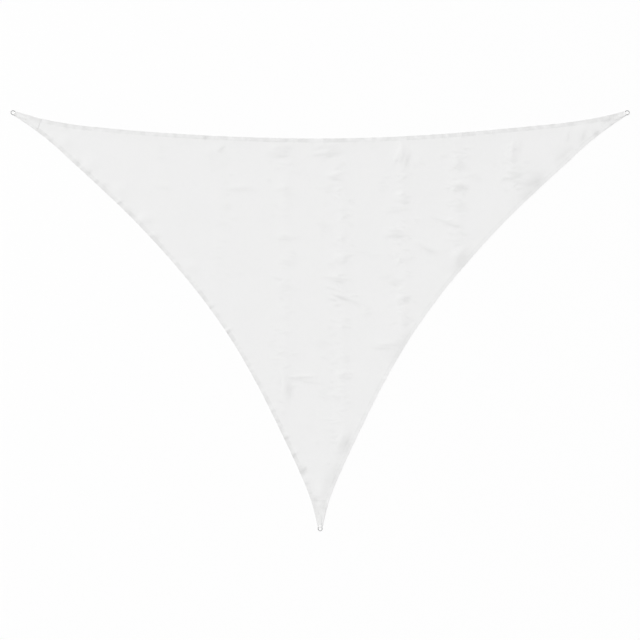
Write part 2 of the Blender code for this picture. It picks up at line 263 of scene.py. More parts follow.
def new_group(name, inputs, outputs):
    tree = bpy.data.node_groups.new(name, "ShaderNodeTree")
    for title, kind in inputs.items():
        tree.interface.new_socket(title, in_out="INPUT", socket_type=kind)
    for title in outputs:
        tree.interface.new_socket(title, in_out="OUTPUT", socket_type="NodeSocketFloat")
    return tree, add_node(tree, "NodeGroupInput").outputs, add_node(tree, "NodeGroupOutput").inputs


def place_group(tree, group, **values):
    node = add_node(tree, "ShaderNodeGroup", node_tree=group)
    for name, value in values.items():
        feed(tree, node.inputs[name.replace("_", " ")], value)
    return node.outputs


# %% [markdown]
# A plain weave repeats every two threads both ways. The sine of each direction gives rounded threads, and
# the product of the two sines says which thread is on top: where it is positive the warp is, elsewhere the
# weft.

# %% Plain weave
VALUE, VECTOR = "NodeSocketFloat", "NodeSocketVector"


def build_weave():
    inputs = {"Place": VECTOR, "Warp pitch": VALUE, "Weft pitch": VALUE}
    tree, inputs, outputs = new_group("Plain weave", inputs, ("Height", "Gaps"))
    place = add_node(tree, "ShaderNodeSeparateXYZ")
    feed(tree, place.inputs[0], inputs["Place"])

    def thread(along, pitch):
        turns = maths(tree, "DIVIDE", place.outputs[along], inputs[pitch])
        return maths(tree, "SINE", maths(tree, "MULTIPLY", turns, math.pi))

    def half_round(wave, crossing):
        swell = maths(tree, "MULTIPLY", maths(tree, "ABSOLUTE", wave), 0.5)
        return maths(tree, "MULTIPLY_ADD", crossing, 0.5, swell)

    warp, weft = thread("X", "Warp pitch"), thread("Y", "Weft pitch")
    over = maths(tree, "MULTIPLY", warp, weft)
    under = maths(tree, "MULTIPLY", over, -1.0)
    height = maths(tree, "MAXIMUM", half_round(warp, over), half_round(weft, under))
    feed(tree, outputs["Height"], height)
    low = maths(tree, "SUBTRACT", 1.0, height)
    feed(tree, outputs["Gaps"], maths(tree, "MULTIPLY", low, low))
    return tree


weave_group = build_weave()
print("plain weave:", len(weave_group.nodes), "nodes")

# %% Unevenness and scratches
WANDER_SCALE = 400.0  # of the noise that makes scratches crooked
WANDER = 0.002  # how far it moves them, in metres


def build_unevenness():
    """A slow drift around 0, between -Amount and +Amount."""
    inputs = {"Place": VECTOR, "Size": VALUE, "Amount": VALUE}
    tree, inputs, outputs = new_group("Unevenness", inputs, ("Drift",))
    noise = add_node(tree, "ShaderNodeTexNoise")
    set_sockets(noise, Detail=3.0)
    feed(tree, noise.inputs["Vector"], inputs["Place"])
    feed(tree, noise.inputs["Scale"], maths(tree, "DIVIDE", 1.0, inputs["Size"]))
    centred = maths(tree, "MULTIPLY_ADD", noise.outputs["Fac"], 2.0, -1.0)
    feed(tree, outputs["Drift"], maths(tree, "MULTIPLY", centred, inputs["Amount"]))
    return tree


def build_scratches():
    """1 on thin crooked lines, and 0 elsewhere."""
    inputs = {"Place": VECTOR, "Spacing": VALUE, "Width": VALUE}
    tree, inputs, outputs = new_group("Scratches", inputs, ("Lines",))
    wander = add_node(tree, "ShaderNodeTexNoise")
    set_sockets(wander, Scale=WANDER_SCALE)
    feed(tree, wander.inputs["Vector"], inputs["Place"])
    crooked = add_node(tree, "ShaderNodeVectorMath", operation="MULTIPLY_ADD")
    feed(tree, crooked.inputs[0], wander.outputs["Color"])
    crooked.inputs[1].default_value = (WANDER, WANDER, WANDER)
    feed(tree, crooked.inputs[2], inputs["Place"])
    cells = add_node(tree, "ShaderNodeTexVoronoi", feature="DISTANCE_TO_EDGE")
    feed(tree, cells.inputs["Vector"], crooked.outputs[0])
    feed(tree, cells.inputs["Scale"], maths(tree, "DIVIDE", 1.0, inputs["Spacing"]))
    feed(tree, outputs["Lines"], maths(tree, "LESS_THAN", cells.outputs["Distance"], inputs["Width"]))
    return tree


unevenness_group = build_unevenness()
scratch_group = build_scratches()
print("unevenness and scratches:", len(unevenness_group.nodes) + len(scratch_group.nodes), "nodes")

# %% [markdown]
# ## The finishes
#
# The cloth is matt white polyester in a fine plain weave. Shade is painted into its colour: between the
# threads, over the two-layer hem, darkest at its fold and in blotches along it where puckers would shade it,
# over the corner patches, and in and round the creases. Its colour also drifts a little at random. A patch
# is cut on its corner's own axis, so its weave runs another way, which a Mapping node turns.
# Webbing is a coarser weave that follows the strap round the ring, so it reads the strap's own attributes.

# %% Helpers for finishes
def start_material(name, **constants):
    """A new material, with plain values for its shader's sockets."""
    material = bpy.data.materials.new(name)
    material.use_nodes = True
    shader = material.node_tree.nodes["Principled BSDF"]
    set_sockets(shader, **constants)
    return material, material.node_tree, shader


def attribute(tree, name):
    return add_node(tree, "ShaderNodeAttribute", attribute_name=name).outputs["Fac"]


def object_place(tree):
    return add_node(tree, "ShaderNodeTexCoord").outputs["Object"]


def between(tree, share, first, second):
    """A colour between two others, of which the first may be a socket."""
    mix = add_node(tree, "ShaderNodeMix", data_type="RGBA")
    feed(tree, mix.inputs["Factor"], share)
    feed(tree, mix.inputs["A"], (*first, 1) if isinstance(first, tuple) else first)
    mix.inputs["B"].default_value = (*second, 1)
    return mix.outputs["Result"]


def add_roughness(tree, shader, share, least, rise):
    feed(tree, shader.inputs["Roughness"], maths(tree, "MULTIPLY_ADD", share, rise, least))


def add_relief(tree, shader, height, depth, strength):
    bump = add_node(tree, "ShaderNodeBump")
    set_sockets(bump, Distance=depth, Strength=strength)
    feed(tree, bump.inputs["Height"], height)
    feed(tree, shader.inputs["Normal"], bump.outputs["Normal"])


# %% Cloth
CLOTH_WHITE = (0.885, 0.885, 0.884)
CLOTH_GREY = (0.60, 0.60, 0.595)
THREAD_PITCH = 0.00055
# painted shade on the hem: darkest at its fold, and in blotches along it where puckers would shade it
HEM_SHADE = 0.17  # how much of the grey shows on the hem
HEM_SHADE_BLOTCH = (0.09, 3.0)  # the size of its blotches, and how strong they are
# painted shade in and round the creases
CREASE_SHADE = 0.16  # how much of it shows where the cloth is creased most
# painted shade between the threads of the weave
GAP_SHADE = 0.34
DRIFTS = ((0.30, 0.035), (0.045, 0.03))  # sizes in metres, and shares of the grey
CLOTH_ROUGHNESS = (0.93, -0.1)  # between the threads, and what their tops add
CLOTH_RELIEF = (0.00008, 0.45)  # how deep in metres, and how strong


def build_cloth(name, turn=0.0):
    material, tree, shader = start_material(name, Specular_IOR_Level=0.3, Sheen_Weight=0.05)
    place = add_node(tree, "ShaderNodeMapping")
    set_sockets(place, Rotation=(0, 0, turn))
    feed(tree, place.inputs["Vector"], object_place(tree))
    place = place.outputs["Vector"]
    weave = place_group(tree, weave_group, Place=place, Warp_pitch=THREAD_PITCH, Weft_pitch=THREAD_PITCH)
    # painted shade between the threads, then drifts of tone at random
    grey = maths(tree, "MULTIPLY", weave["Gaps"], GAP_SHADE)
    for size, amount in DRIFTS:
        drift = place_group(tree, unevenness_group, Place=place, Size=size, Amount=amount)
        grey = maths(tree, "ADD", grey, drift["Drift"])
    # painted shade on the hem and the patches, stronger in blotches
    size, amount = HEM_SHADE_BLOTCH
    shade_blotch = place_group(tree, unevenness_group, Place=place, Size=size, Amount=amount)
    hem_shade_grey = maths(tree, "MULTIPLY_ADD", shade_blotch["Drift"], HEM_SHADE, HEM_SHADE)
    grey = maths(tree, "MULTIPLY_ADD", attribute(tree, "hem_shade_layer"), hem_shade_grey, grey)
    # painted shade in and round the creases
    grey = maths(tree, "MULTIPLY_ADD", attribute(tree, "crease_shading"), CREASE_SHADE, grey)
    feed(tree, shader.inputs["Base Color"], between(tree, grey, CLOTH_WHITE, CLOTH_GREY))
    add_roughness(tree, shader, weave["Height"], *CLOTH_ROUGHNESS)
    add_relief(tree, shader, weave["Height"], *CLOTH_RELIEF)
    return material


cloth = build_cloth("sail_cloth")
patch_cloths = {name: build_cloth(f"patch_cloth_{name}", -CORNERS[name].turn) for name in CORNERS}
print("cloth:", len(cloth.node_tree.nodes), "nodes")

# %% Webbing
WEBBING_WHITE = (0.902, 0.902, 0.899)
WEBBING_GREY = (0.52, 0.52, 0.516)
WEBBING_PITCH = (0.0011, 0.0014)  # along the strap and across it
# painted shade between the webbing's threads
WEBBING_GAP_SHADE = 0.45
WEBBING_DRIFT = (0.012, 0.08)
WEBBING_ROUGHNESS = (0.8, -0.15)
WEBBING_RELIEF = (0.00025, 0.8)


def build_webbing():
    material, tree, shader = start_material("webbing", Specular_IOR_Level=0.4, Sheen_Weight=0.15)
    place = add_node(tree, "ShaderNodeCombineXYZ")
    feed(tree, place.inputs["X"], attribute(tree, "along"))
    feed(tree, place.inputs["Y"], attribute(tree, "across"))
    place = place.outputs[0]
    warp, weft = WEBBING_PITCH
    weave = place_group(tree, weave_group, Place=place, Warp_pitch=warp, Weft_pitch=weft)
    size, amount = WEBBING_DRIFT
    drift = place_group(tree, unevenness_group, Place=place, Size=size, Amount=amount)
    # painted shade between the threads, and a drift of tone at random
    grey = maths(tree, "MULTIPLY_ADD", weave["Gaps"], WEBBING_GAP_SHADE, drift["Drift"])
    feed(tree, shader.inputs["Base Color"], between(tree, grey, WEBBING_WHITE, WEBBING_GREY))
    add_roughness(tree, shader, weave["Height"], *WEBBING_ROUGHNESS)
    add_relief(tree, shader, weave["Height"], *WEBBING_RELIEF)
    return material


webbing = build_webbing()
print("webbing:", len(webbing.node_tree.nodes), "nodes")

# %% Thread and steel
THREAD_GREY = 0.2  # sewing thread is a little greyer than the webbing
PLY_GREY = 0.3
PLY_SCALE = 900.0
PLY_RELIEF = (0.00004, 0.5)
STEEL_BRIGHT = (0.36, 0.365, 0.37)
STEEL_DULL = (0.24, 0.24, 0.24)
STEEL_DULLNESS = 0.35  # on average, and what a scratch adds
STEEL_ROUGHNESS = (0.2, 0.22)
SCRATCH_RELIEF = (0.00002, 0.4)
WELD_TINT = (0.24, 0.20, 0.16)
WELD_SHARE = 0.7


def build_thread():
    """Spun polyester, twisted: its plies show as slanting lines."""
    material, tree, shader = start_material("sewing_thread", Roughness=0.55, Sheen_Weight=0.1)
    plies = add_node(tree, "ShaderNodeTexWave", bands_direction="DIAGONAL")
    set_sockets(plies, Scale=PLY_SCALE)
    feed(tree, plies.inputs["Vector"], object_place(tree))
    grey = maths(tree, "MULTIPLY_ADD", plies.outputs["Fac"], PLY_GREY, THREAD_GREY)
    feed(tree, shader.inputs["Base Color"], between(tree, grey, WEBBING_WHITE, WEBBING_GREY))
    add_relief(tree, shader, plies.outputs["Fac"], *PLY_RELIEF)
    return material


def build_steel():
    """Stainless wire, tumbled smooth: fine scratches in all directions, and a dull tint at the weld."""
    material, tree, shader = start_material("ring_steel", Metallic=1.0)
    place = object_place(tree)
    scratches = place_group(tree, scratch_group, Place=place, Spacing=0.0032, Width=0.018)["Lines"]
    drift = place_group(tree, unevenness_group, Place=place, Size=0.009, Amount=0.5)["Drift"]
    base = maths(tree, "ADD", drift, STEEL_DULLNESS)
    dull = maths(tree, "MULTIPLY_ADD", scratches, STEEL_DULLNESS, base)
    bare = between(tree, dull, STEEL_BRIGHT, STEEL_DULL)
    tint = maths(tree, "MULTIPLY", attribute(tree, "weld"), WELD_SHARE)
    feed(tree, shader.inputs["Base Color"], between(tree, tint, bare, WELD_TINT))
    add_roughness(tree, shader, dull, *STEEL_ROUGHNESS)
    add_relief(tree, shader, maths(tree, "MULTIPLY", scratches, -1.0), *SCRATCH_RELIEF)
    return material


thread, steel = build_thread(), build_steel()
print("finishes:", ", ".join(material.name for material in (cloth, webbing, thread, steel)))

# %% [markdown]
# ## The cloth's outline
#
# The hollow edges were cut already, in the solid, so they are read from it and not drawn again.
# A copy of the solid's mesh is merged first, because it arrives as loose triangles. Its rim is where a face
# of the underside meets an upright one, and the rim's edges are chained into one loop.

# %% Read the outline
MERGE = 0.00001
STEEP = 0.5  # a face whose normal's height is less than this stands up


def merged_copy(node):
    """A CAD node's mesh with its loose triangles joined."""
    bm = bmesh.new()
    bm.from_mesh(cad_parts[node].data)
    bmesh.ops.remove_doubles(bm, verts=bm.verts, dist=MERGE)
    bm.normal_update()
    return bm


def is_rim(edge):
    slopes = sorted(face.normal.z for face in edge.link_faces)
    return len(slopes) == 2 and slopes[0] < -STEEP and abs(slopes[1]) < STEEP


def chained(edges):
    """The places along a closed loop of edges."""
    beside = {}
    for edge in edges:
        for vertex in edge.verts:
            beside.setdefault(vertex, []).append(edge.other_vert(vertex))
    start = edges[0].verts[0]
    loop, before = [start], None
    while True:
        there = next(vertex for vertex in beside[loop[-1]] if vertex is not before)
        if there is start:
            return np.array([vertex.co.xy[:] for vertex in loop])
        before = loop[-1]
        loop.append(there)


def loop_area(loop):
    x, y = loop.T
    return float(np.sum(x * np.roll(y, -1) - y * np.roll(x, -1))) / 2


solid = merged_copy("sail_panel")
outline = chained([edge for edge in solid.edges if is_rim(edge)])
if loop_area(outline) < 0:
    outline = outline[::-1]
print(len(outline), "points round", round(loop_area(outline), 3), "square metres")

# %% [markdown]
# ## Three edges
#
# Each corner of the cloth ends in a short square cut near its ring. The outline is divided there into its
# three long edges. Each edge gets a column of points every twelve millimetres, with the way into the cloth.

# %% Divide the outline into edges
COLUMN = 0.012
TIP_ROOM = 0.001
EDGE_NAMES = {("right", "left"): "top", ("left", "bottom"): "left", ("bottom", "right"): "right"}
Edge = namedtuple("Edge", "name start end points inward along")


def nearest_corner(point):
    return min(CORNERS, key=lambda name: (Vector(point) - CORNERS[name].ring.xy).length)


def tip_corners(loop):
    """For each point, the corner whose square end it belongs to, or None."""
    tips = [None] * len(loop)
    for name in CORNERS:
        into = to_corner(name, loop)[:, 0]
        for i in np.flatnonzero(into < into.min() + TIP_ROOM):
            tips[i] = name
    return tips


def distances(points):
    """How far along a path each of its points lies."""
    return np.concatenate([[0.0], np.cumsum(np.linalg.norm(np.diff(points, axis=0), axis=1))])


def make_edge(points):
    at = distances(points)
    along = np.linspace(0.0, at[-1], round(at[-1] / COLUMN) + 1)
    slope = np.gradient(points, at, axis=0)
    place = np.stack([np.interp(along, at, points[:, k]) for k in (0, 1)], axis=1)
    run = np.stack([np.interp(along, at, slope[:, k]) for k in (0, 1)], axis=1)
    run /= np.linalg.norm(run, axis=1)[:, None]
    inward = np.stack([-run[:, 1], run[:, 0]], axis=1)
    start, end = nearest_corner(points[0]), nearest_corner(points[-1])
    return Edge(EDGE_NAMES[start, end], start, end, place, inward, along)


def divide(loop):
    tips = tip_corners(loop)
    first = next(i for i in range(len(loop)) if tips[i] and not tips[(i + 1) % len(loop)])
    order = [(first + i) % len(loop) for i in range(len(loop) + 1)]
    edges, run = [], []
    for i in order:
        run.append(i)
        if tips[i] and len(run) > 1:
            if len(run) > 2:
                edges.append(make_edge(loop[run]))
            run = [i]
    return edges


edges = divide(outline)
for edge in edges:
    print("the", edge.name, "edge is", round(edge.along[-1], 3), "m long")

# %% [markdown]
# ## How high the cloth lies
#
# The solid already has the sail's main folds and wrinkles in flat facets. Its underside is sampled on a grid
# and blurred over a centimetre or two, which turns the facets into soft forms. The blur is divided by the
# blurred outline, so that nothing is pulled down at the edges.

# %% Sample the solid's underside
CELL = 0.010
BLUR = 0.014
MARGIN = 0.05
UP = Vector((0, 0, 1))
LEAST_KNOWN = 0.001  # share of the blur that lies on the sail, so that nothing is divided by 0
LAST_CELL = 1.001  # keeps a point on the grid's far side inside its last cell


def blurred(field):
    reach = math.ceil(3 * BLUR / CELL)
    kernel = np.exp(-0.5 * (np.arange(-reach, reach + 1) * CELL / BLUR) ** 2)
    kernel /= kernel.sum()
    for axis in (0, 1):
        field = np.apply_along_axis(np.convolve, axis, field, kernel, mode="same")
    return field


grid_x = np.arange(-SPAN / 2 - MARGIN, SPAN / 2 + MARGIN, CELL)
grid_y = np.arange(-DROP / 2 - MARGIN, DROP / 2 + MARGIN, CELL)
tree = BVHTree.FromBMesh(solid)
heights = np.zeros((len(grid_y), len(grid_x)))
known = np.zeros_like(heights)
for j, y in enumerate(grid_y):
    for i, x in enumerate(grid_x):
        hit = tree.ray_cast(Vector((x, y, -1.0)), UP)[0]
        if hit:
            heights[j, i], known[j, i] = hit.z, 1.0
soft_heights = blurred(heights) / np.maximum(blurred(known), LEAST_KNOWN)


def solid_height(points):
    """The height of the solid's underside at points of the sail."""
    u = np.clip((points[:, 0] - grid_x[0]) / CELL, 0, len(grid_x) - LAST_CELL)
    v = np.clip((points[:, 1] - grid_y[0]) / CELL, 0, len(grid_y) - LAST_CELL)
    i, j = u.astype(int), v.astype(int)
    s, t = u - i, v - j
    low = soft_heights[j, i] * (1 - s) + soft_heights[j, i + 1] * s
    high = soft_heights[j + 1, i] * (1 - s) + soft_heights[j + 1, i + 1] * s
    return low * (1 - t) + high * t


print("the folds rise to", round(1000 * soft_heights.max(), 1), "mm")

# %% [markdown]
# ## Creases
#
# The sail was folded into a narrow strip and then rolled, so short creases lie across every packing fold,
# most of them nearly level. Each row below is one group of them: where its middle is, how far it reaches
# along and across, how many ridges it has, how high they stand, and how many degrees they are turned
# anticlockwise. A ridge leans, with its steep side turned away from the light, as a crease does in cloth
# that has been pulled almost flat.

# %% Crease groups
Crease = namedtuple("Crease", "x y length spread ridges height turn")
CREASES = (
    Crease(-1.56, 1.69, 0.16, 0.10, 2, 0.0010, 8),
    Crease(-1.53, 1.32, 0.24, 0.08, 2, 0.0012, 0),
    Crease(-1.60, 1.02, 0.14, 0.10, 2, 0.0008, -12),
    Crease(-1.02, 1.62, 0.22, 0.16, 4, 0.0022, -32),
    Crease(-0.76, 1.30, 0.44, 0.05, 2, 0.0018, 0),
    Crease(-0.93, 1.13, 0.16, 0.08, 2, 0.0016, 8),
    Crease(-0.96, 0.96, 0.20, 0.08, 2, 0.0012, -3),
    Crease(-1.02, 0.60, 0.20, 0.10, 2, 0.0010, 2),
    Crease(-0.39, 1.67, 0.30, 0.14, 6, 0.0028, -4),
    Crease(-0.24, 1.47, 0.20, 0.05, 2, 0.0014, -4),
    Crease(-0.34, 1.29, 0.22, 0.10, 3, 0.0022, 3),
    Crease(-0.35, 1.08, 0.18, 0.10, 2, 0.0012, -6),
    Crease(-0.32, 0.83, 0.20, 0.06, 2, 0.0024, -4),
    Crease(-0.30, 0.62, 0.22, 0.14, 4, 0.0020, -8),
    Crease(-0.36, 0.37, 0.20, 0.14, 4, 0.0018, 20),
    Crease(-0.34, 0.05, 0.20, 0.05, 2, 0.0016, 3),
    Crease(-0.44, -0.20, 0.24, 0.10, 3, 0.0012, 16),
    Crease(-0.34, -0.30, 0.16, 0.06, 2, 0.0012, -4),
    Crease(-0.34, -0.66, 0.36, 0.06, 4, 0.0034, 86),
    Crease(-0.06, -0.555, 0.62, 0.04, 2, 0.0032, -4),
    Crease(-0.12, -1.02, 0.14, 0.06, 2, 0.0014, 40),
    Crease(0.06, 1.67, 0.32, 0.14, 6, 0.0030, 14),
    Crease(0.12, 1.42, 0.26, 0.06, 3, 0.0028, 3),
    Crease(0.08, 1.30, 0.24, 0.05, 2, 0.0022, -2),
    Crease(0.22, 1.52, 0.14, 0.10, 3, 0.0018, -50),
    Crease(0.24, 1.06, 0.16, 0.08, 3, 0.0020, -14),
    Crease(0.03, 0.95, 0.18, 0.14, 4, 0.0018, -6),
    Crease(0.22, 0.82, 0.16, 0.05, 2, 0.0018, 3),
    Crease(0.20, 0.60, 0.16, 0.16, 5, 0.0024, -36),
    Crease(0.48, 0.67, 0.28, 0.04, 2, 0.0012, -5),
    Crease(0.17, 0.42, 0.38, 0.05, 3, 0.0032, -13),
    Crease(0.20, 0.27, 0.42, 0.06, 3, 0.0034, -25),
    Crease(0.46, 0.13, 0.14, 0.12, 3, 0.0022, 24),
    Crease(0.23, -0.02, 0.14, 0.14, 3, 0.0018, -24),
    Crease(0.02, -0.20, 0.24, 0.08, 3, 0.0018, -24),
    Crease(0.23, -0.36, 0.16, 0.08, 3, 0.0016, 4),
    Crease(0.22, -0.52, 0.20, 0.08, 3, 0.0024, 3),
    Crease(0.08, -0.68, 0.22, 0.14, 4, 0.0020, -12),
    Crease(0.10, -1.05, 0.34, 0.03, 1, 0.0014, 0),
    Crease(0.22, -1.18, 0.24, 0.10, 4, 0.0028, 74),
    Crease(0.80, 1.62, 0.28, 0.14, 5, 0.0030, 80),
    Crease(0.62, 1.33, 0.18, 0.10, 3, 0.0018, 4),
    Crease(0.82, 1.23, 0.14, 0.14, 4, 0.0026, 10),
    Crease(0.72, 1.10, 0.34, 0.06, 3, 0.0020, 2),
    Crease(0.72, 0.86, 0.30, 0.08, 4, 0.0034, 4),
    Crease(1.04, 0.73, 0.32, 0.05, 3, 0.0028, -22),
    Crease(0.80, 0.60, 0.14, 0.10, 3, 0.0018, 70),
    Crease(0.68, 0.42, 0.26, 0.12, 4, 0.0022, 6),
    Crease(0.80, 0.24, 0.16, 0.12, 4, 0.0030, -8),
    Crease(0.84, 0.03, 0.14, 0.14, 3, 0.0020, 20),
    Crease(0.60, -0.24, 0.30, 0.06, 3, 0.0024, 3),
    Crease(1.00, 1.58, 0.12, 0.08, 2, 0.0022, -30),
    Crease(1.35, 1.55, 0.22, 0.12, 4, 0.0024, -18),
    Crease(1.50, 1.42, 0.26, 0.08, 3, 0.0018, 12),
    Crease(1.34, 1.32, 0.26, 0.08, 4, 0.0026, 3),
    Crease(1.36, 1.13, 0.22, 0.12, 5, 0.0022, -6),
    Crease(1.24, 0.98, 0.34, 0.06, 3, 0.0024, -9),
    Crease(1.30, 0.78, 0.18, 0.06, 2, 0.0018, 4),
    Crease(1.38, 0.62, 0.26, 0.12, 4, 0.0018, 40),
    Crease(1.88, 1.66, 0.26, 0.12, 4, 0.0028, 84),
    Crease(1.90, 1.42, 0.30, 0.12, 5, 0.0026, -8),
    Crease(2.08, 1.44, 0.20, 0.16, 4, 0.0020, 30),
    Crease(2.02, 1.24, 0.26, 0.08, 3, 0.0018, 26),
)

# %% Lay out the ridges
LEAN = 0.6
CREASE_LEAN = 0.4  # of the narrow ones
Ridge = namedtuple("Ridge", "x y length width height turn bend lean", defaults=(0.0, LEAN))
RIDGE_WIDTH = 0.060
BEND = 0.12
TURN_SPREAD = 9.0
SHARE_SPREAD = 0.2  # how unevenly the ridges of a group are spaced
SLIDE = 0.22  # how far one lies along from the group's middle, as a share of the group's length
LENGTHS = (0.55, 1.05)  # shares of the length that the group's row says
WIDTHS = (0.7, 1.4)  # shares of the usual width
HEIGHTS = (0.37, 0.77)  # shares of the row's height


def way_of(turn):
    """The direction that is turned anticlockwise from +X by so many degrees."""
    return math.cos(math.radians(turn)), math.sin(math.radians(turn))


def ridges_of(crease, random):
    """The ridges of one group, a little uneven in every way."""
    cos, sin = way_of(crease.turn)
    along, across = Vector((cos, sin)), Vector((-sin, cos))
    for i in range(crease.ridges):
        uneven = random.uniform(-SHARE_SPREAD, SHARE_SPREAD) / crease.ridges
        share = (i + 0.5) / crease.ridges - 0.5 + uneven
        slide = random.uniform(-SLIDE, SLIDE) * crease.length
        place = Vector((crease.x, crease.y)) + across * share * crease.spread + along * slide
        yield Ridge(
            *place,
            length=crease.length * random.uniform(*LENGTHS),
            width=RIDGE_WIDTH * random.uniform(*WIDTHS),
            height=crease.height * random.uniform(*HEIGHTS),
            turn=crease.turn + random.uniform(-TURN_SPREAD, TURN_SPREAD),
            bend=random.uniform(-BEND, BEND),
            lean=CREASE_LEAN,
        )


random = np.random.default_rng(6)
ridges = [ridge for crease in CREASES for ridge in ridges_of(crease, random)]
print(len(ridges), "ridges in", len(CREASES), "groups")

# %% [markdown]
# Between those groups each packing fold is full of smaller wrinkles. They are scattered at random about the
# folds, more and higher ones towards the right, where the roll began and the cloth was bent most tightly.
# Where a fold runs into a hem, the doubled cloth stays up in a broad hump, with its steep side towards the
# edge.

# %% Small wrinkles and humps
Fold = namedtuple("Fold", "x low high wrinkles height")  # low and high are its ends along Y
FOLDS = (
    Fold(x=-1.53, low=0.90, high=1.70, wrinkles=8, height=0.0009),
    Fold(x=-0.93, low=0.30, high=1.70, wrinkles=24, height=0.0011),
    Fold(x=-0.36, low=-0.90, high=1.72, wrinkles=64, height=0.0015),
    Fold(x=0.18, low=-1.45, high=1.72, wrinkles=100, height=0.0018),
    Fold(x=0.79, low=-0.30, high=1.72, wrinkles=76, height=0.0018),
    Fold(x=1.33, low=0.55, high=1.72, wrinkles=56, height=0.0018),
    Fold(x=1.87, low=1.25, high=1.74, wrinkles=30, height=0.0018),
)
FOLD_SPREAD = 0.060
SMALL_LENGTHS = (0.05, 0.16)
SMALL_WIDTHS = (0.026, 0.054)
SMALL_HEIGHTS = (0.30, 0.82)  # shares of the fold's height
SMALL_TURN = 20


def scattered(fold, random):
    for _ in range(fold.wrinkles):
        yield Ridge(
            x=fold.x + random.normal(0, FOLD_SPREAD),
            y=random.uniform(fold.low, fold.high),
            length=random.uniform(*SMALL_LENGTHS),
            width=random.uniform(*SMALL_WIDTHS),
            height=fold.height * random.uniform(*SMALL_HEIGHTS),
            turn=random.normal(0, SMALL_TURN),
            bend=random.uniform(-BEND, BEND),
            lean=CREASE_LEAN,
        )


HUMPS = (
    Ridge(x=2.52, y=1.81, length=0.24, width=0.13, height=0.0034, turn=75),
    Ridge(x=2.39, y=1.80, length=0.16, width=0.08, height=0.0020, turn=80),
    Ridge(x=2.34, y=1.68, length=0.34, width=0.17, height=0.0028, turn=36),
    Ridge(x=2.08, y=1.47, length=0.34, width=0.28, height=0.0034, turn=26),
    Ridge(x=2.00, y=1.36, length=0.38, width=0.24, height=0.0034, turn=44, bend=0.1),
    Ridge(x=1.90, y=1.46, length=0.26, width=0.14, height=0.0026, turn=24),
    Ridge(x=1.34, y=0.62, length=0.46, width=0.26, height=0.0036, turn=50, bend=0.1),
    Ridge(x=0.72, y=-0.24, length=0.42, width=0.21, height=0.0034, turn=58, bend=0.1),
    Ridge(x=0.19, y=-1.18, length=0.42, width=0.17, height=0.0030, turn=66),
    Ridge(x=0.06, y=-1.50, length=0.48, width=0.21, height=0.0042, turn=80),
    Ridge(x=-0.98, y=1.70, length=0.14, width=0.07, height=0.0030, turn=40),
)
ridges += [ridge for fold in FOLDS for ridge in scattered(fold, random)]
ridges += HUMPS
print(len(ridges), "with the small wrinkles and the humps")

# %% [markdown]
# The left hem was sewn tightest. Sharp little tucks lie square across it, and between them the cloth just
# inside swells up, with its steep side to the light, so those swells are the brightest places of the sail.
# They get none of the painted shade that the creases get.

# %% Tucks and swells of the left edge
Tuck = namedtuple("Tuck", "x y height")
TUCK_TURN = 51
TUCK_SIZE = {"length": 0.13, "width": 0.10, "lean": LEAN}
SWELL_SIZE = {"length": 0.15, "width": 0.17, "lean": -0.5}
TUCKS = (
    Tuck(x=-2.404, y=1.560, height=0.0048),
    Tuck(x=-2.296, y=1.462, height=0.0060),
    Tuck(x=-2.150, y=1.335, height=0.0044),
    Tuck(x=-1.896, y=1.091, height=0.0036),
    Tuck(x=-1.632, y=0.827, height=0.0036),
    Tuck(x=-0.196, y=-1.438, height=0.0095),
)
SWELLS = (
    Tuck(x=-2.470, y=1.735, height=0.0054),
    Tuck(x=-2.220, y=1.530, height=0.0048),
    Tuck(x=-1.935, y=1.265, height=0.0056),
    Tuck(x=-1.695, y=0.985, height=0.0085),
    Tuck(x=-1.245, y=0.515, height=0.0056),
)


def tuck_ridges(tucks, size):
    return [Ridge(tuck.x, tuck.y, height=tuck.height, turn=TUCK_TURN, **size) for tuck in tucks]


ridges += tuck_ridges(TUCKS, TUCK_SIZE)
swells = tuck_ridges(SWELLS, SWELL_SIZE)
print(len(TUCKS), "tucks and", len(swells), "swells")

# %% [markdown]
# A few folds were pressed into the corners through all their layers, so they run on over the patches. They
# lean less than the others. The stiff tip under the strap stays flat. All but the last of the folds get the
# painted shade of the creases too.

# %% Folds of the corners
CORNER_LEAN = 0.2
CORNER_FOLDS = (
    Ridge(x=-0.050, y=-1.714, length=0.13, width=0.11, height=0.0056, turn=0, lean=CORNER_LEAN),
    Ridge(x=2.820, y=1.985, length=0.20, width=0.08, height=0.0040, turn=20, lean=CORNER_LEAN),
    Ridge(x=2.684, y=1.846, length=0.11, width=0.09, height=0.0060, turn=30, lean=CORNER_LEAN),
    Ridge(x=0.012, y=-1.650, length=0.44, width=0.12, height=0.0072, turn=87, lean=CORNER_LEAN),
)
# the corner folds whose creases get painted shade
SHADED_CORNER_FOLDS = CORNER_FOLDS[:-1]
print(len(CORNER_FOLDS), "folds in the corners")

# %% [markdown]
# A ridge is half a wave across, steeper on one side of its crest, and fades out towards both ends. A bent
# one bows to one side.

# %% The shape of a ridge
BOW_MIDDLE = 0.08  # taken off a bow, so that a bent ridge stays about where its row says
CREASE_SHADE_REACH = 1.8
# the creases' painted shade is full at this sum of ridge heights
CREASE_SHADE_FULL = 0.0055  # the sum of ridge heights at which the cloth can't look any more creased


def facing(ridge):
    """1, or -1 on a ridge turned by more than a right angle, whose steep side is its other one."""
    return 1 if way_of(ridge.turn)[0] > 0 else -1


def on_ridge(ridge, points):
    """Where points lie on a ridge: shares of its length and width from its middle, within half at most."""
    cos, sin = way_of(ridge.turn)
    x, y = points[:, 0] - ridge.x, points[:, 1] - ridge.y
    along = (x * cos + y * sin) / ridge.length
    bow = ridge.bend * ridge.length * (along * along - BOW_MIDDLE)
    across = (y * cos - x * sin - bow) / ridge.width
    return np.clip(along, -0.5, 0.5), np.clip(across, -0.5, 0.5)


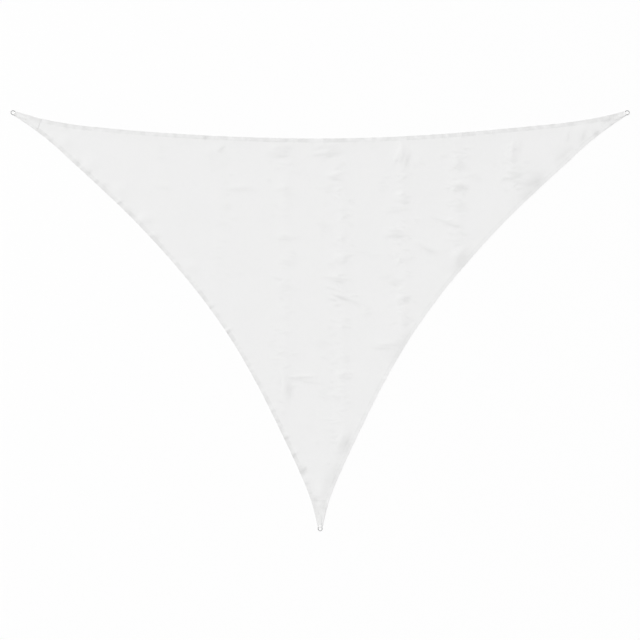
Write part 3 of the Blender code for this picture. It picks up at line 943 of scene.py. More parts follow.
def ridge_height(ridge, points):
    along, across = on_ridge(ridge, points)
    crest = -ridge.lean / 2 * facing(ridge)
    foot = np.where(across < crest, -0.5, 0.5)
    rise = (1 + np.cos(np.pi * (across - crest) / (foot - crest))) / 2
    taper = (1 + np.cos(2 * np.pi * along)) / 2
    return ridge.height * rise * taper


def summed(ridges, points):
    return sum(ridge_height(ridge, points) for ridge in ridges)


def crease_shading(points):
    """How much painted shade the creases put on the cloth, from 0 to 1. This reaches a little further than
    the ridges do.
    """
    shaded_ridges = (*ridges, *SHADED_CORNER_FOLDS)
    wider = [ridge._replace(width=CREASE_SHADE_REACH * ridge.width) for ridge in shaded_ridges]
    return np.clip(summed(wider, points) / CREASE_SHADE_FULL, 0, 1)


print("a crest lies", round(50 * (1 - LEAN)), "% of the width from the foot of the steep side")

# %% [markdown]
# ## Puckers along the hem
#
# Sewing draws a hem up, and its two layers are never fed quite evenly, so the edge stands in low waves of
# many lengths, with small ripples between the stitches. They die out within a hand's width of the hem, and
# near the patches, where the cloth is stiff. A sum of sines whose lengths don't share a factor never repeats
# in view. The waves lean over like the creases, with their steep sides turned away from the key light.
# The three edges differ: the left one is puckered most, and the right one, which lay inside the roll, has
# no painted shade at its fold, only a little towards its inner line.

# %% How the edges differ
# fold and inner say how much painted shade the hem gets at its fold and at its inner line
HemLook = namedtuple("HemLook", "pucker fold inner")  # how puckered, and how grey at its fold and inner line
HEM_LOOKS = {
    "top": HemLook(pucker=1.0, fold=1.0, inner=0.75),
    "left": HemLook(pucker=1.3, fold=1.1, inner=0.60),
    "right": HemLook(pucker=0.9, fold=0.0, inner=0.48),
}
PUCKER_LEAN = 0.7
KEY_WAY = KEY.where.xy.normalized()


def pucker_lean(edge):
    """How far the waves of an edge lean over as one goes along it."""
    run = (CORNERS[edge.end].ring - CORNERS[edge.start].ring).xy.normalized()
    return PUCKER_LEAN * run.dot(KEY_WAY)


print("puckers lean by", {edge.name: round(pucker_lean(edge), 2) for edge in edges})

# %% Where points lie
def chord_place(edge, points):
    """How far along an edge points lie, and how far inside it, measured from the line between its rings."""
    start = np.array(CORNERS[edge.start].ring.xy)
    run = np.array(CORNERS[edge.end].ring.xy) - start
    run /= np.linalg.norm(run)
    inward = np.array((-run[1], run[0]))
    hollow = np.interp((points - start) @ run, (edge.points - start) @ run, (edge.points - start) @ inward)
    return (points - start) @ run, (points - start) @ inward - hollow


def nearest_inset(points):
    """How far inside the nearest edge points lie."""
    return np.min([chord_place(edge, points)[1] for edge in edges], axis=0)


def ring_distance(points):
    """How far into the nearest corner points lie."""
    return np.min([to_corner(name, points)[:, 0] for name in CORNERS], axis=0)


def flatness(points, first, last):
    """0 up to the first distance from the rings, and 1 past the last."""
    return ease((ring_distance(points) - first) / (last - first))


middle = np.zeros((1, 2))
print("the sail's middle is", round(nearest_inset(middle)[0], 2), "m inside its edges")

# %% Pucker waves
Wave = namedtuple("Wave", "length height")
LONG_WAVES = (Wave(0.587, 0.0008), Wave(0.233, 0.0014), Wave(0.149, 0.0022), Wave(0.097, 0.0017))
RIPPLES = (Wave(0.061, 0.0006), Wave(0.043, 0.0003))
SWELL = Wave(1.37, 0.25)  # the length over which the puckers grow and fade, and by what share
PUCKER_REACH = 0.10
FLAT_CORNER = (0.24, 0.42)  # from the rings: no puckers before the first, and all of them past the second


def waves(along, rows, random, lean):
    height = np.zeros(len(along))
    for row in rows:
        turn = 2 * np.pi * along / row.length + random.uniform(0, 2 * np.pi)
        height += row.height * np.sin(turn + lean * np.sin(turn))
    return height


def pucker_height(points):
    height = np.zeros(len(points))
    random = np.random.default_rng(11)
    for edge in edges:
        along, inset = chord_place(edge, points)
        lean = pucker_lean(edge)
        swell = np.sin(2 * np.pi * along / SWELL.length + random.uniform(0, 2 * np.pi))
        swell = 1 - SWELL.height + SWELL.height * swell
        rise = swell * np.maximum(waves(along, LONG_WAVES, random, lean), 0)
        height += HEM_LOOKS[edge.name].pucker * rise * (1 - ease(inset / PUCKER_REACH))
        ripple = waves(along, RIPPLES, random, lean) + sum(row.height for row in RIPPLES)
        height += ripple * (1 - ease((inset - HEM) / HEM)) / 2
    return height * flatness(points, *FLAT_CORNER)


print("puckers rise up to", round(1000 * sum(wave.height for wave in LONG_WAVES), 1), "mm")

# %% Everything together
MOST_HEIGHT = 0.0065  # that ridges lying over each other can add up to
EDGE_PRESS = 0.5  # how much of the folds and creases is left at the very edge
PRESS_REACH = 0.09
ROLL = Wave(0.120, 0.0018)  # how far inside the right edge its low roll is highest, and how high
ROLL_REACH = 0.40
STIFF_TIP = (0.15, 0.20)  # from the rings: where the folds of the corners begin


def roll_height(points):
    """The low roll along the right edge, which was the middle of the rolled sail and keeps some curl."""
    edge = next(edge for edge in edges if edge.name == "right")
    inset = chord_place(edge, points)[1]
    return ROLL.height * (ease(inset / ROLL.length) - ease((inset - ROLL.length) / ROLL_REACH))


def cloth_height(points):
    """How high the sail's underside lies at points given in plan."""
    pressed = EDGE_PRESS + (1 - EDGE_PRESS) * ease(nearest_inset(points) / PRESS_REACH)
    creases = MOST_HEIGHT * np.tanh(summed(ridges + swells, points) / MOST_HEIGHT)
    height = solid_height(points) + (creases + roll_height(points)) * flatness(points, *FLAT_CORNER)
    corner_folds = summed(CORNER_FOLDS, points) * flatness(points, *STIFF_TIP)
    return height * pressed + pucker_height(points) + corner_folds


print("the sail's middle lies", round(1000 * cloth_height(middle)[0], 1), "mm up")

# %% [markdown]
# ## The cloth and its turned hem
#
# The sail is one sheet. At each edge it turns over on itself, comes back 40 mm inwards and ends on top, so
# the hem is built as the maker folds it: rows of points run under the hem, round the fold and back over it,
# and share their columns, so the two layers stay parallel through every pucker. Near a tip the hem gets
# narrower, because the hems of two edges meet there.
# The middle is filled with triangles, close together on the ridges and wider between them.

# %% Hem rows
Row = namedtuple("Row", "share inset level")  # a share of the hem's width and a fixed inset, and the layer
FOLD_RADIUS = LAYER_STEP / 2
FOLD_INSET = FOLD_RADIUS + CLOTH / 2
FOLD_STEPS = 3
STITCH_DENT = 0.15  # how far stitches press the upper layer down, as a share of a layer
INNER_STITCHES, OUTER_STITCHES = 0.86, 0.13  # shares of the hem's width
AXIS_SHARE = 0.9  # of the way to a corner's axis that the hem takes up near the tip
SQUARE_REACH = 0.12  # from a tip, over which the columns turn from its square cut to square to the edge


def fold_rows():
    """Round the fold, from the lower layer to the upper one."""
    for i in range(FOLD_STEPS + 1):
        turn = math.pi * i / FOLD_STEPS
        yield Row(0.0, FOLD_INSET - FOLD_RADIUS * math.sin(turn), (1 - math.cos(turn)) / 2)


UNDER_ROWS = (Row(1.0, 0.0, 0.0), Row(0.5, 0.0, 0.0))
OVER_ROWS = (
    Row(OUTER_STITCHES, 0.0, 1 - STITCH_DENT),
    Row(0.36, 0.0, 1.0),
    Row(0.62, 0.0, 1.0),
    Row(INNER_STITCHES, 0.0, 1 - STITCH_DENT),
    Row(1.0, 0.0, 1.0),
)
HEM_ROWS = (*UNDER_ROWS, *fold_rows(), *OVER_ROWS)


def hem_ways(edge):
    """Which way each column runs into the cloth: square to the edge, but along the cut at either tip."""
    run = np.stack([edge.inward[:, 1], -edge.inward[:, 0]], axis=1)
    ways = edge.inward.copy()
    for name in (edge.start, edge.end):
        cut = corner_axes(name)[:, 1]
        into = to_corner(name, edge.points)[:, 0]
        fade = 1 - ease((into - into.min()) / SQUARE_REACH)
        slide = -np.cross(edge.inward, cut) / np.cross(run, cut)
        ways += run * (np.where(fade > 0, slide, 0.0) * fade)[:, None]
    return ways


def hem_widths(edge):
    """The hem's width at each column: full along the edge, and most of the way to the axis at a tip."""
    widths = np.full(len(edge.points), HEM)
    for name in (edge.start, edge.end):
        into, across = to_corner(name, edge.points).T
        near = into < NEAR_CORNER
        widths[near] = np.minimum(widths[near], AXIS_SHARE * np.abs(across[near]))
    return widths


def hem_row(edge, row):
    """A row of the cloth's middle surface along an edge."""
    inset = row.share * hem_widths(edge) + row.inset
    flat = edge.points + hem_ways(edge) * inset[:, None]
    height = cloth_height(flat) + CLOTH / 2 + row.level * LAYER_STEP
    return np.column_stack([flat, height])


print(len(HEM_ROWS), "rows of points along each edge")

# %% Points for the middle
OPEN_STEP = 0.034
RIDGE_STEP = 0.016
LEAST_STEPS = 4  # along a ridge
ACROSS_RIDGE = np.array((-0.5, -0.43, -0.36, -0.28, -0.14, 0.05, 0.27, 0.5))  # close at the crest
LEAST_GAPS = (0.0048, 0.021)  # between points of the ridges, and from them to the points between
CORNER_CLEAR = 0.20  # no points nearer to a ring than this


def inside_hem(points):
    """Only the points that lie well inside the hem's inner line and clear of the corners."""
    clear = (nearest_inset(points) > HEM + COLUMN) & (ring_distance(points) > CORNER_CLEAR)
    return points[clear]


def ridge_points(ridge):
    cos, sin = way_of(ridge.turn)
    steps = max(LEAST_STEPS, round(ridge.length / RIDGE_STEP))
    along = np.linspace(-0.5, 0.5, steps + 1)[:, None] * ridge.length
    bow = ridge.bend * (along * along / ridge.length - BOW_MIDDLE * ridge.length)
    across = facing(ridge) * ACROSS_RIDGE[None, :] * ridge.width + bow
    places = ridge.x + along * cos - across * sin, ridge.y + along * sin + across * cos
    return np.stack(places, axis=-1).reshape(-1, 2)


def open_points(step):
    x, y = np.meshgrid(np.arange(-SPAN / 2, SPAN / 2, step), np.arange(-DROP / 2, DROP / 2, step))
    return np.stack([x, y], axis=-1).reshape(-1, 2)


def thinned(groups):
    """Points of all groups, each only where none before it lies within its group's least distance."""
    kept, taken = [], {}
    for points, least in groups:
        for x, y in points:
            i, j = int(x // OPEN_STEP), int(y // OPEN_STEP)
            cells = ((a, b) for a in (i - 1, i, i + 1) for b in (j - 1, j, j + 1))
            near = (point for cell in cells for point in taken.get(cell, ()))
            if all((x - u) ** 2 + (y - v) ** 2 > least * least for u, v in near):
                kept.append((x, y))
                taken.setdefault((i, j), []).append((x, y))
    return kept


on_ridges = np.concatenate([ridge_points(ridge) for ridge in ridges])
inner_points = thinned(zip((inside_hem(on_ridges), inside_hem(open_points(OPEN_STEP))), LEAST_GAPS))
print(len(inner_points), "points inside the hem")

# %% Helpers for sheets
def start_sheet():
    """An empty sheet whose points will carry how much painted shade the hem and the creases put on the
    cloth.
    """
    bm = bmesh.new()
    return bm, bm.verts.layers.float.new("hem_shade_layer"), bm.verts.layers.float.new("crease_shading")


def add_row(bm, places):
    return [bm.verts.new(place) for place in places]


def bridge(rows):
    """Faces between rows of vertices that have the same columns."""
    for row, after in zip(rows, rows[1:]):
        for i in range(len(row) - 1):
            yield row[i], after[i], after[i + 1], row[i + 1]


def plan(bm):
    """The places of a sheet's points, seen from above."""
    return np.array([vertex.co.xy[:] for vertex in bm.verts])


def mesh_piece(name, bm, material):
    mesh = bpy.data.meshes.new(name)
    bm.to_mesh(mesh)
    bm.free()
    mesh.materials.append(material)
    return link_object(name, mesh)


def select_only(piece):
    bpy.ops.object.select_all(action="DESELECT")
    piece.select_set(True)
    bpy.context.view_layer.objects.active = piece


def thicken(piece, thickness):
    """Gives a sheet its thickness, half to either side."""
    select_only(piece)
    solidify = piece.modifiers.new("Thickness", "SOLIDIFY")
    solidify.thickness = thickness
    solidify.offset = 0.0
    solidify.use_even_offset = True
    bpy.ops.object.modifier_apply(modifier=solidify.name)


def shade(piece, degrees=35):
    select_only(piece)
    bpy.ops.object.shade_smooth_by_angle(angle=math.radians(degrees))


# %% Build the sheet
SNAP = 0.000001


def fill_middle(bm, inner):
    """Triangles between the points at the hem's inner line, which keep their vertices, and those inside."""
    flat = [vertex.co.xy for vertex in inner] + [Vector(point) for point in inner_points]
    rim = list(range(len(inner)))
    places, _, faces, origins, _, owners = delaunay_2d_cdt(flat, [], [rim], 0, SNAP, True)
    height = cloth_height(np.array([place[:] for place in places])) + CLOTH / 2
    vertices = []
    for place, z, origin in zip(places, height, origins):
        known = [i for i in origin if i < len(inner)]
        vertices.append(inner[known[0]] if known else bm.verts.new((*place, z)))
    for face, owner in zip(faces, owners):
        if owner:  # the others fill the hollows outside the hem
            bm.faces.new([vertices[i] for i in face])


def sail_sheet():
    bm, hem_shade_layer, crease_shading_layer = start_sheet()
    inner = []
    for edge in edges:
        look = HEM_LOOKS[edge.name]
        rows = []
        for row in HEM_ROWS:
            # painted shade of the hem, from its fold to its inner line; the row that meets the middle gets
            # none
            grey = look.fold + (look.inner - look.fold) * row.share if rows else 0.0
            rows.append(add_row(bm, hem_row(edge, row)))
            for vertex in rows[-1]:
                vertex[hem_shade_layer] = grey
        for face in bridge(rows):
            bm.faces.new(face)
        inner += rows[0]
    fill_middle(bm, inner)
    # painted shade in and round the creases
    for vertex, share in zip(bm.verts, crease_shading(plan(bm))):
        vertex[crease_shading_layer] = share
    return mesh_piece("sail_cloth", bm, cloth)


sail = sail_sheet()
thicken(sail, CLOTH)
shade(sail)
top = max(vertex.co.z for vertex in sail.data.vertices)
print(len(sail.data.polygons), "faces, up to", round(1000 * top, 1), "mm")

# %% [markdown]
# ## Sewing
#
# One stitch is a short soft spindle: its ends dive into the cloth, so only a low oval shows.
# It is shaped once from a small sphere and then copied along every row, turned to run with the row. Each
# stitch has few faces, because there are thousands. The hem has two rows, near its fold and near its inner
# edge.

# %% One stitch
STITCH = Vector((0.0034, 0.00060, 0.00040))  # its length, width and height
STITCH_PITCH = 0.0042
STITCH_SIDES = 4
STITCH_RINGS = 3

bpy.ops.mesh.primitive_uv_sphere_add(segments=STITCH_SIDES, ring_count=STITCH_RINGS, radius=0.5)
stitch = bpy.context.object
bpy.ops.object.mode_set(mode="EDIT")
bpy.ops.mesh.select_all(action="SELECT")
bpy.ops.transform.rotate(value=math.pi / 2, orient_axis="Y", center_override=(0, 0, 0))
bpy.ops.transform.resize(value=STITCH, center_override=(0, 0, 0))
bpy.ops.object.mode_set(mode="OBJECT")
stitch_points = np.array([vertex.co[:] for vertex in stitch.data.vertices])
stitch_faces = [tuple(face.vertices) for face in stitch.data.polygons]
bpy.data.objects.remove(stitch)
print("a stitch has", len(stitch_faces), "faces")

# %% Rows of stitches
STITCH_SHADE = 60  # degrees up to which its edges are smooth


def along_path(path, pitch):
    """Places every pitch along a path, and the directions there."""
    path = np.asarray(path)
    at = distances(path)
    middles = np.arange(pitch / 2, at[-1], pitch)

    def place(distance):
        return np.stack([np.interp(distance, at, path[:, k]) for k in range(3)], axis=1)

    step = place(middles + pitch / 4) - place(middles - pitch / 4)
    return place(middles), step / np.linalg.norm(step, axis=1)[:, None]


def sew(name, paths, pitch=STITCH_PITCH):
    """One piece with a stitch every pitch along each path."""
    points, faces = [], []
    for path in paths:
        places, ways = along_path(path, pitch)
        sides = np.cross((0, 0, 1), ways)
        sides /= np.linalg.norm(sides, axis=1)[:, None]
        ups = np.cross(ways, sides)
        turned = stitch_points @ np.stack([ways, sides, ups], axis=1) + places[:, None, :]
        for block in turned:
            start = len(points) * len(stitch_points)
            points.append(block)
            faces.extend(tuple(start + corner for corner in face) for face in stitch_faces)
    mesh = bpy.data.meshes.new(name)
    mesh.from_pydata(np.concatenate(points).tolist(), [], faces)
    mesh.materials.append(thread)
    piece = link_object(name, mesh)
    shade(piece, STITCH_SHADE)
    print(name, "has", len(points), "stitches")
    return piece


# %% Sew the hem
UNDER_THREAD = 0.00012  # how far the underside's stitches are drawn into the cloth
TOP_THREAD = CLOTH / 2


def stitch_row(edge, share, level, rise):
    path = hem_row(edge, Row(share, 0.0, level))
    path[:, 2] += rise
    return path


hem_stitches = {}
for edge in edges:
    paths = []
    for share in (OUTER_STITCHES, INNER_STITCHES):
        paths.append(stitch_row(edge, share, 1 - STITCH_DENT, TOP_THREAD))
        paths.append(stitch_row(edge, share, 0.0, UNDER_THREAD - CLOTH / 2))
    hem_stitches[edge.name] = sew(f"hem_stitching_{edge.name}", paths)

# %% [markdown]
# ## Corner patches
#
# Each corner is doubled with a wedge of the same cloth. Its sides are turned under and sewn just inside the
# hem's fold, and so is its tip. It ends in a straight seam, also turned under, with two rows of stitches.
# The wedge is a grid of sections across the corner. Each section starts under one side, goes round the fold,
# over the top and under the other side, and its height follows the hem that it drapes over.

# %% Sizes of a patch
PATCH_START = 0.0255  # from the ring's centre
PATCH_END = 0.285
PATCH_MARGIN = 0.003  # inside the cloth's edges
FLAP = 0.010  # turned under
SECTION_STEP = 0.004
MIDDLE_COLUMNS = 24
STEP_START = 1.06  # hem widths from the edge, where the patch starts to come down beside the hem
STEP_RUN = 0.010  # over which it does
SEAM_ROWS = (0.004, 0.009)  # of stitches, from the seam
SIDE_STITCHES = 0.4  # a share of the flap
FLAP_SLOPE = 1.5  # flap widths from the fold, where the upper layer has come down from the flap


def corner_sides(name, into):
    """How far the cloth reaches across on either side of a corner's axis, low and high, as arrays."""
    reach = []
    for edge in edges:
        if name in (edge.start, edge.end):
            at, across = to_corner(name, edge.points).T
            near = np.flatnonzero(at < NEAR_CORNER)
            order = near[np.argsort(at[near])]
            reach.append(np.interp(into, at[order], across[order]))
    return sorted(reach, key=lambda side: side[0])


def over_hem(points):
    """1 over the hem and 0 beside it, with a soft step between."""
    return 1 - ease((nearest_inset(points) - HEM * STEP_START) / STEP_RUN)


def hem_top(points):
    """The height of the cloth's upper face, hem included."""
    return cloth_height(points) + CLOTH + over_hem(points) * LAYER_STEP


FLAP_ROWS = (
    *UNDER_ROWS,
    *fold_rows(),
    Row(SIDE_STITCHES, 0.0, 1 - STITCH_DENT),
    Row(0.7, 0.0, 1.0),
    Row(1.0, 0.0, 1.0),
    Row(FLAP_SLOPE, 0.0, 0.0),
)
print("a patch reaches", round(PATCH_END - PATCH_START, 3), "m into its corner")

# %% Sections of a patch
def patch_surface(name, into, across, levels):
    """Places on the patch's middle surface, for grids of distances, places across and layers."""
    into, across, levels = np.broadcast_arrays(into, across, levels)
    flat = from_corner(name, np.stack([into.ravel(), across.ravel()], axis=1))
    height = hem_top(flat) + LAYER_GAP + CLOTH / 2 + levels.ravel() * LAYER_STEP
    return np.column_stack([flat, height]).reshape(*across.shape, 3)


def patch_columns(name, into):
    """Places across the patch at every distance into the corner, and the layer of each column."""
    low, high = corner_sides(name, into)
    insets = PATCH_MARGIN + np.array([row.share * FLAP + row.inset for row in FLAP_ROWS])
    first, last = low[:, None] + insets, high[:, None] - insets[::-1]
    shares = np.linspace(0, 1, MIDDLE_COLUMNS + 2)[1:-1]
    between_flaps = first[:, -1:] * (1 - shares) + last[:, :1] * shares
    levels = [row.level for row in FLAP_ROWS]
    levels = levels + [0.0] * MIDDLE_COLUMNS + levels[::-1]
    return np.concatenate([first, between_flaps, last], axis=1), levels


def raised_ends(into, levels):
    """The layers of all sections. Near the patch's ends its top lies on their flaps too."""
    from_end = np.minimum(into - PATCH_START, PATCH_END - into)
    over_flap = ease((FLAP_SLOPE * FLAP - from_end) / (0.5 * FLAP))[:, None]
    on_top = slice(len(UNDER_ROWS) + FOLD_STEPS, len(levels) - len(UNDER_ROWS) - FOLD_STEPS)
    levels = np.tile(levels, (len(into), 1))
    levels[:, on_top] = np.maximum(levels[:, on_top], over_flap)
    return levels


def end_flap(name, end, way, across):
    """Rows of the flap at one end of the patch, from the top round the fold and under it."""
    turns = [math.pi * i / FOLD_STEPS for i in reversed(range(FOLD_STEPS))]
    rows = [(FOLD_INSET - FOLD_RADIUS * math.sin(turn), (1 - math.cos(turn)) / 2) for turn in turns]
    rows += [(FLAP / 2, 0.0), (FLAP, 0.0)]
    return [patch_surface(name, end + way * inset, across, level) for inset, level in rows]


# %% Build the patches
# painted shade on a patch: less beside the hem, more over it
PATCH_SHADE = (0.55, 1.0)  # beside the hem and over it


def patch_sheet(name):
    length = PATCH_END - PATCH_START - 2 * FOLD_INSET
    into = PATCH_START + FOLD_INSET + np.linspace(0, length, round(length / SECTION_STEP) + 1)
    across, levels = patch_columns(name, into)
    grid = patch_surface(name, into[:, None], across, raised_ends(into, levels))

    bm, hem_shade_layer, crease_shading_layer = start_sheet()
    rows = [add_row(bm, row) for row in grid]
    middle_columns = slice(len(FLAP_ROWS) - 1, len(rows[0]) - len(FLAP_ROWS) + 1)
    faces = list(bridge(rows))
    for last, end, way in ((-1, PATCH_END, -1), (0, PATCH_START, 1)):
        flap = [rows[last][middle_columns]]
        flap += [add_row(bm, row) for row in end_flap(name, end, way, across[last, middle_columns])]
        faces += bridge(flap[::-way])
    for face in faces:
        bm.faces.new(face)
    # painted shade on the patch, more over the hem, and painted shade in its creases
    beside, over = PATCH_SHADE
    for vertex, share, crease in zip(bm.verts, over_hem(plan(bm)), crease_shading(plan(bm))):
        vertex[hem_shade_layer] = beside + (over - beside) * share
        vertex[crease_shading_layer] = crease
    patch = mesh_piece(f"patch_{name}", bm, patch_cloths[name])
    thicken(patch, CLOTH)
    shade(patch)
    return patch


patches = {name: patch_sheet(name) for name in CORNERS}
print("a patch has", len(patches["left"].data.polygons), "faces")

# %% Sew the patches
PATCH_PITCH = 0.0038
SIDE_POINTS, SEAM_POINTS = 60, 30  # along a side's path, and along a seam's


def patch_paths(name):
    """A row along each side, one along the tip and two along the seam, on the patch's upper face."""
    tip_row = PATCH_START + SEAM_ROWS[0]
    into = np.linspace(tip_row, PATCH_END - SEAM_ROWS[0], SIDE_POINTS)
    low, high = corner_sides(name, into)
    inset = PATCH_MARGIN + SIDE_STITCHES * FLAP
    for across in (low + inset, high - inset):
        yield patch_surface(name, into, across, 1.0)
    for row in (tip_row, *(PATCH_END - row for row in SEAM_ROWS)):
        reach = np.array([row])
        low, high = corner_sides(name, reach)
        across = np.linspace(low[0] + inset, high[0] - inset, SEAM_POINTS)
        yield patch_surface(name, reach, across, 1.0)


patch_stitches = {}
for name in CORNERS:
    paths = list(patch_paths(name))
    for path in paths:
        path[:, 2] += TOP_THREAD - STITCH_DENT * LAYER_STEP / 2
    patch_stitches[name] = sew(f"patch_stitching_{name}", paths, PATCH_PITCH)

# %% [markdown]
# ## The rings
#
# A D-ring is bent from 6 mm stainless wire and welded in one of its short sides. It is made as the wire is
# bent: a circle is spun half a turn for the arc, extruded for the short side, spun a quarter turn, extruded
# for the bar and so on, back to where it began. The weld is a slightly thicker band of the same wire.
# One ring is modelled and copied to the three corners, tilted a little, so that its arc touches the floor.

# %% Bend a ring
WIRE = 0.006
WIRE_SIDES = 20
RING_RADIUS = 0.019  # of the wire's middle line round the arc
BAR = 0.017  # from the arc's centre to the bar's middle line
BAR_BEND = 0.004
SIDE_RUN = BAR - BAR_BEND
ARC_STEPS = 40
BEND_STEPS = 8
SIDE_STEPS = 13
WIRE_SHADE = 60
ALONG_Z = (0, 0, 1)


def spin(steps, angle, center, axis=ALONG_Z):
    """Spins the selected end. The tool turns against the usual way round its axis, hence the minus."""
    bpy.ops.mesh.spin(steps=steps, angle=-angle, center=center, axis=axis)


def push(way, steps=1):
    """Extrudes the selected end in equal steps."""
    for _ in range(steps):
        bpy.ops.mesh.extrude_region_move(TRANSFORM_OT_translate={"value": Vector(way) / steps})


bpy.ops.object.select_all(action="DESELECT")
bpy.ops.mesh.primitive_circle_add(
    vertices=WIRE_SIDES, radius=WIRE / 2, location=(0, RING_RADIUS, 0), rotation=(0, math.pi / 2, 0)
)
ring = bpy.context.object
bpy.ops.object.transform_apply(location=True, rotation=True, scale=True)
bpy.ops.object.mode_set(mode="EDIT")
bpy.ops.mesh.select_all(action="SELECT")
spin(ARC_STEPS, math.pi, (0, 0, 0))
push((SIDE_RUN, 0, 0))
spin(BEND_STEPS, math.pi / 2, (SIDE_RUN, BAR_BEND - RING_RADIUS, 0))
push((0, 2 * (RING_RADIUS - BAR_BEND), 0))
spin(BEND_STEPS, math.pi / 2, (SIDE_RUN, RING_RADIUS - BAR_BEND, 0))
push((-SIDE_RUN, 0, 0), SIDE_STEPS)
bpy.ops.mesh.select_all(action="SELECT")
bpy.ops.mesh.remove_doubles(threshold=MERGE)
bpy.ops.mesh.normals_make_consistent(inside=False)
bpy.ops.object.mode_set(mode="OBJECT")
print("the ring has", len(ring.data.vertices), "points")

# %% Weld it
WELD = (0.0045, 0.0085)  # where the weld lies on the short side, from the arc's centre
WELD_SWELL = 0.07

weld = ring.data.attributes.new("weld", "FLOAT", "POINT")
for vertex in ring.data.vertices:
    share = (vertex.co.x - WELD[0]) / (WELD[1] - WELD[0])
    if vertex.co.y > RING_RADIUS - WIRE and 0 < share < 1:
        swell = math.sin(math.pi * share)
        weld.data[vertex.index].value = math.sqrt(swell)
        vertex.co.y = RING_RADIUS + (vertex.co.y - RING_RADIUS) * (1 + WELD_SWELL * swell)
        vertex.co.z *= 1 + WELD_SWELL * swell
ring.data.materials.append(steel)
shade(ring, WIRE_SHADE)
print("the weld is", round(1000 * WIRE * (1 + WELD_SWELL), 2), "mm thick")

# %% Place the rings
WEBBING = 0.0015
PIECE_GAP = 0.0003
BAR_HEIGHT = WEBBING + PIECE_GAP + WIRE / 2
tilt = math.atan2(BAR_HEIGHT - WIRE / 2, BAR + RING_RADIUS)


def copy_to_corners(model, name, place):
    """A copy of a model, with its own mesh, at every corner. The model itself goes."""
    copies = {}
    for corner in CORNERS:
        mesh = model.data.copy()
        mesh.transform(corner_matrix(corner) @ place)
        copies[corner] = link_object(f"{name}_{corner}", mesh)
    bpy.data.objects.remove(model)
    return copies


to_bar = Matrix.Translation((BAR, 0, BAR_HEIGHT))
about_bar = to_bar @ Matrix.Rotation(-tilt, 4, "Y") @ Matrix.Translation((-BAR, 0, 0))
rings = copy_to_corners(ring, "wire_ring", about_bar)
print("each ring leans", round(math.degrees(tilt), 1), "degrees")

# %% [markdown]
# ## The straps
#
# A strap is one length of webbing. It lies under the corner, goes up round the ring's bar and comes back
# over the patch, and both legs are sewn together through the cloth with a box and a cross.
# It is made as it lies: a grid for the lower leg, whose end edge is spun half a turn round the bar, then
# extruded down to the patch and along it. Cross ribs are raised in the mesh itself, because they are what
# makes webbing look like webbing from close by.

# %% Lay a strap
STRAP_WIDTH = 0.028
STRAP_END = 0.140  # from the ring's centre to the legs' ends
STRAP_DROP = 0.024  # over which the upper leg comes down from the bar
STRAP_COLUMNS = 12
RIB = 0.0022
RIB_STEP = RIB / 4
LOW_LEG = WEBBING / 2
TOP_LEG = WEBBING + PIECE_GAP + 4 * LAYER_STEP + WEBBING / 2  # over the hem and the patch's flap
WRAP = WIRE / 2 + PIECE_GAP + WEBBING / 2


def select_points(piece, chosen):
    """Goes into edit mode with the points that pass a test selected."""
    select_only(piece)
    bpy.ops.object.mode_set(mode="EDIT")
    bpy.ops.mesh.select_mode(type="VERT")
    bpy.ops.mesh.select_all(action="DESELECT")
    bpy.ops.object.mode_set(mode="OBJECT")
    for vertex in piece.data.vertices:
        vertex.select = chosen(vertex.co)
    bpy.ops.object.mode_set(mode="EDIT")


bpy.ops.object.select_all(action="DESELECT")
bpy.ops.mesh.primitive_grid_add(
    x_subdivisions=round((STRAP_END - BAR) / RIB_STEP),
    y_subdivisions=STRAP_COLUMNS,
    size=1.0,
    location=((BAR + STRAP_END) / 2, 0, LOW_LEG),
)
strap = bpy.context.object
strap.scale = (STRAP_END - BAR, STRAP_WIDTH, 1)
bpy.ops.object.transform_apply(location=True, rotation=True, scale=True)
select_points(strap, lambda place: place.x < BAR + RIB_STEP / 2)
spin(round(math.pi * WRAP / RIB_STEP), math.pi, (BAR, 0, BAR_HEIGHT), axis=(0, 1, 0))

drop_steps = round(STRAP_DROP / RIB_STEP)
drop = BAR_HEIGHT + WRAP - TOP_LEG
for i in range(drop_steps):
    fall = float(ease((i + 1) / drop_steps) - ease(i / drop_steps)) * drop
    push((STRAP_DROP / drop_steps, 0, -fall))
leg_run = STRAP_END - BAR - STRAP_DROP
push((leg_run, 0, 0), round(leg_run / RIB_STEP))
bpy.ops.object.mode_set(mode="OBJECT")
print("the strap's middle surface has", len(strap.data.polygons), "faces")

# %% Measure along it and thicken it
SELVEDGE = 0.00035


def strap_distance(place):
    """How far along the strap a point of its middle surface is, from the lower leg's end."""
    leg = STRAP_END - BAR
    if place.x < BAR:
        return leg + WRAP * math.atan2(BAR - place.x, BAR_HEIGHT - place.z)
    return leg + math.pi * WRAP + place.x - BAR if place.z > BAR_HEIGHT else STRAP_END - place.x


along = strap.data.attributes.new("along", "FLOAT", "POINT")
across = strap.data.attributes.new("across", "FLOAT", "POINT")
for vertex in strap.data.vertices:
    along.data[vertex.index].value = strap_distance(vertex.co)
    across.data[vertex.index].value = vertex.co.y
thicken(strap, WEBBING)
bevel = strap.modifiers.new("Selvedges", "BEVEL")
bevel.width = SELVEDGE
bevel.segments = 2
bevel.limit_method = "ANGLE"
bevel.angle_limit = math.radians(60)
bpy.ops.object.modifier_apply(modifier=bevel.name)
print("with its thickness", len(strap.data.polygons), "faces")

# %% Raise the ribs
RIB_HEIGHT = 0.00009
STRAP_SHADE = 50

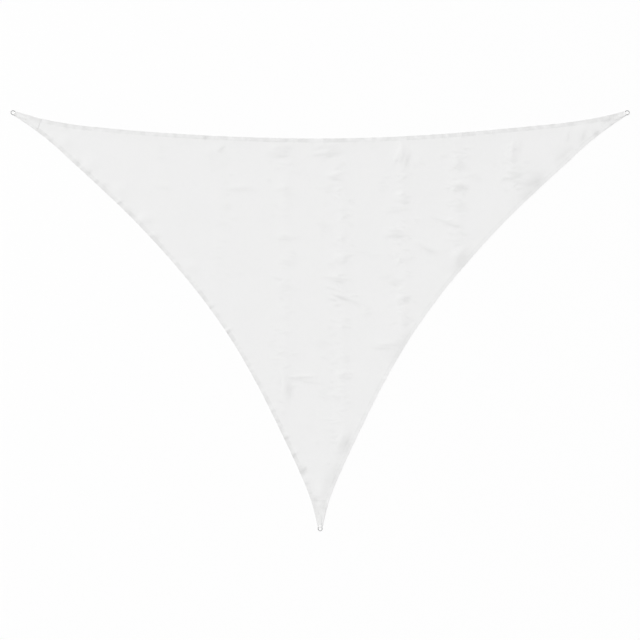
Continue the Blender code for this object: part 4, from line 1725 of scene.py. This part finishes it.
distance = strap.data.attributes["along"].data
normals = [vertex.normal.copy() for vertex in strap.data.vertices]
for vertex, normal in zip(strap.data.vertices, normals):
    if abs(vertex.co.y) < STRAP_WIDTH / 2 - SELVEDGE:
        turn = 2 * math.pi * distance[vertex.index].value / RIB
        vertex.co -= normal * RIB_HEIGHT * (0.5 + 0.5 * math.cos(turn))
strap.data.materials.append(webbing)
shade(strap, STRAP_SHADE)
straps = copy_to_corners(strap, "webbing_strap", Matrix())
print("ribs", 1000 * RIB, "mm apart")

# %% Sew the straps
BOX = (0.048, 0.132)  # where the box begins and ends, from the ring's centre
BOX_SIDE = 0.0105
BOX_RUNS = ((0, 1), (1, 3), (3, 2), (2, 0), (0, 3), (1, 2))  # its sides and its cross, by their corners
RUN_POINTS = 24
STRAP_PITCH = 0.0036


def strap_paths(name, height):
    corners = [(x, y) for x in BOX for y in (-BOX_SIDE, BOX_SIDE)]
    for first, last in BOX_RUNS:
        ends = from_corner(name, np.array([corners[first], corners[last]]))
        yield np.column_stack([np.linspace(*ends, RUN_POINTS), np.full(RUN_POINTS, height)])


strap_stitches = {}
for name in CORNERS:
    top, low = TOP_LEG + WEBBING / 2, UNDER_THREAD
    paths = [*strap_paths(name, top), *strap_paths(name, low)]
    strap_stitches[name] = sew(f"strap_stitching_{name}", paths, STRAP_PITCH)

# %% [markdown]
# ## What each piece stands for
#
# Nothing on a sail moves, so every piece rides on the one body. The flat size that the cloth was cut to is
# worked out: its own cut is its outline with the hem unfolded. Each patch's reach across is sampled too.

WIDTH_SAMPLES = 20

cut_area = loop_area(outline) + HEM * sum(edge.along[-1] for edge in edges)
print("the cut has", round(cut_area, 2), "square metres")

for name in CORNERS:
    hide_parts(f"corner_patch_{name}")
    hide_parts(f"ring_strap_{name}")
    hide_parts(f"ring_{name}")
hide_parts("sail_panel")

groups = (patches, patch_stitches, straps, strap_stitches, rings, hem_stitches)
for piece in [sail, *(piece for group in groups for piece in group.values())]:
    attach(piece, "root")

for name, patch in patches.items():
    low, high = corner_sides(name, np.linspace(PATCH_START, PATCH_END, WIDTH_SAMPLES))
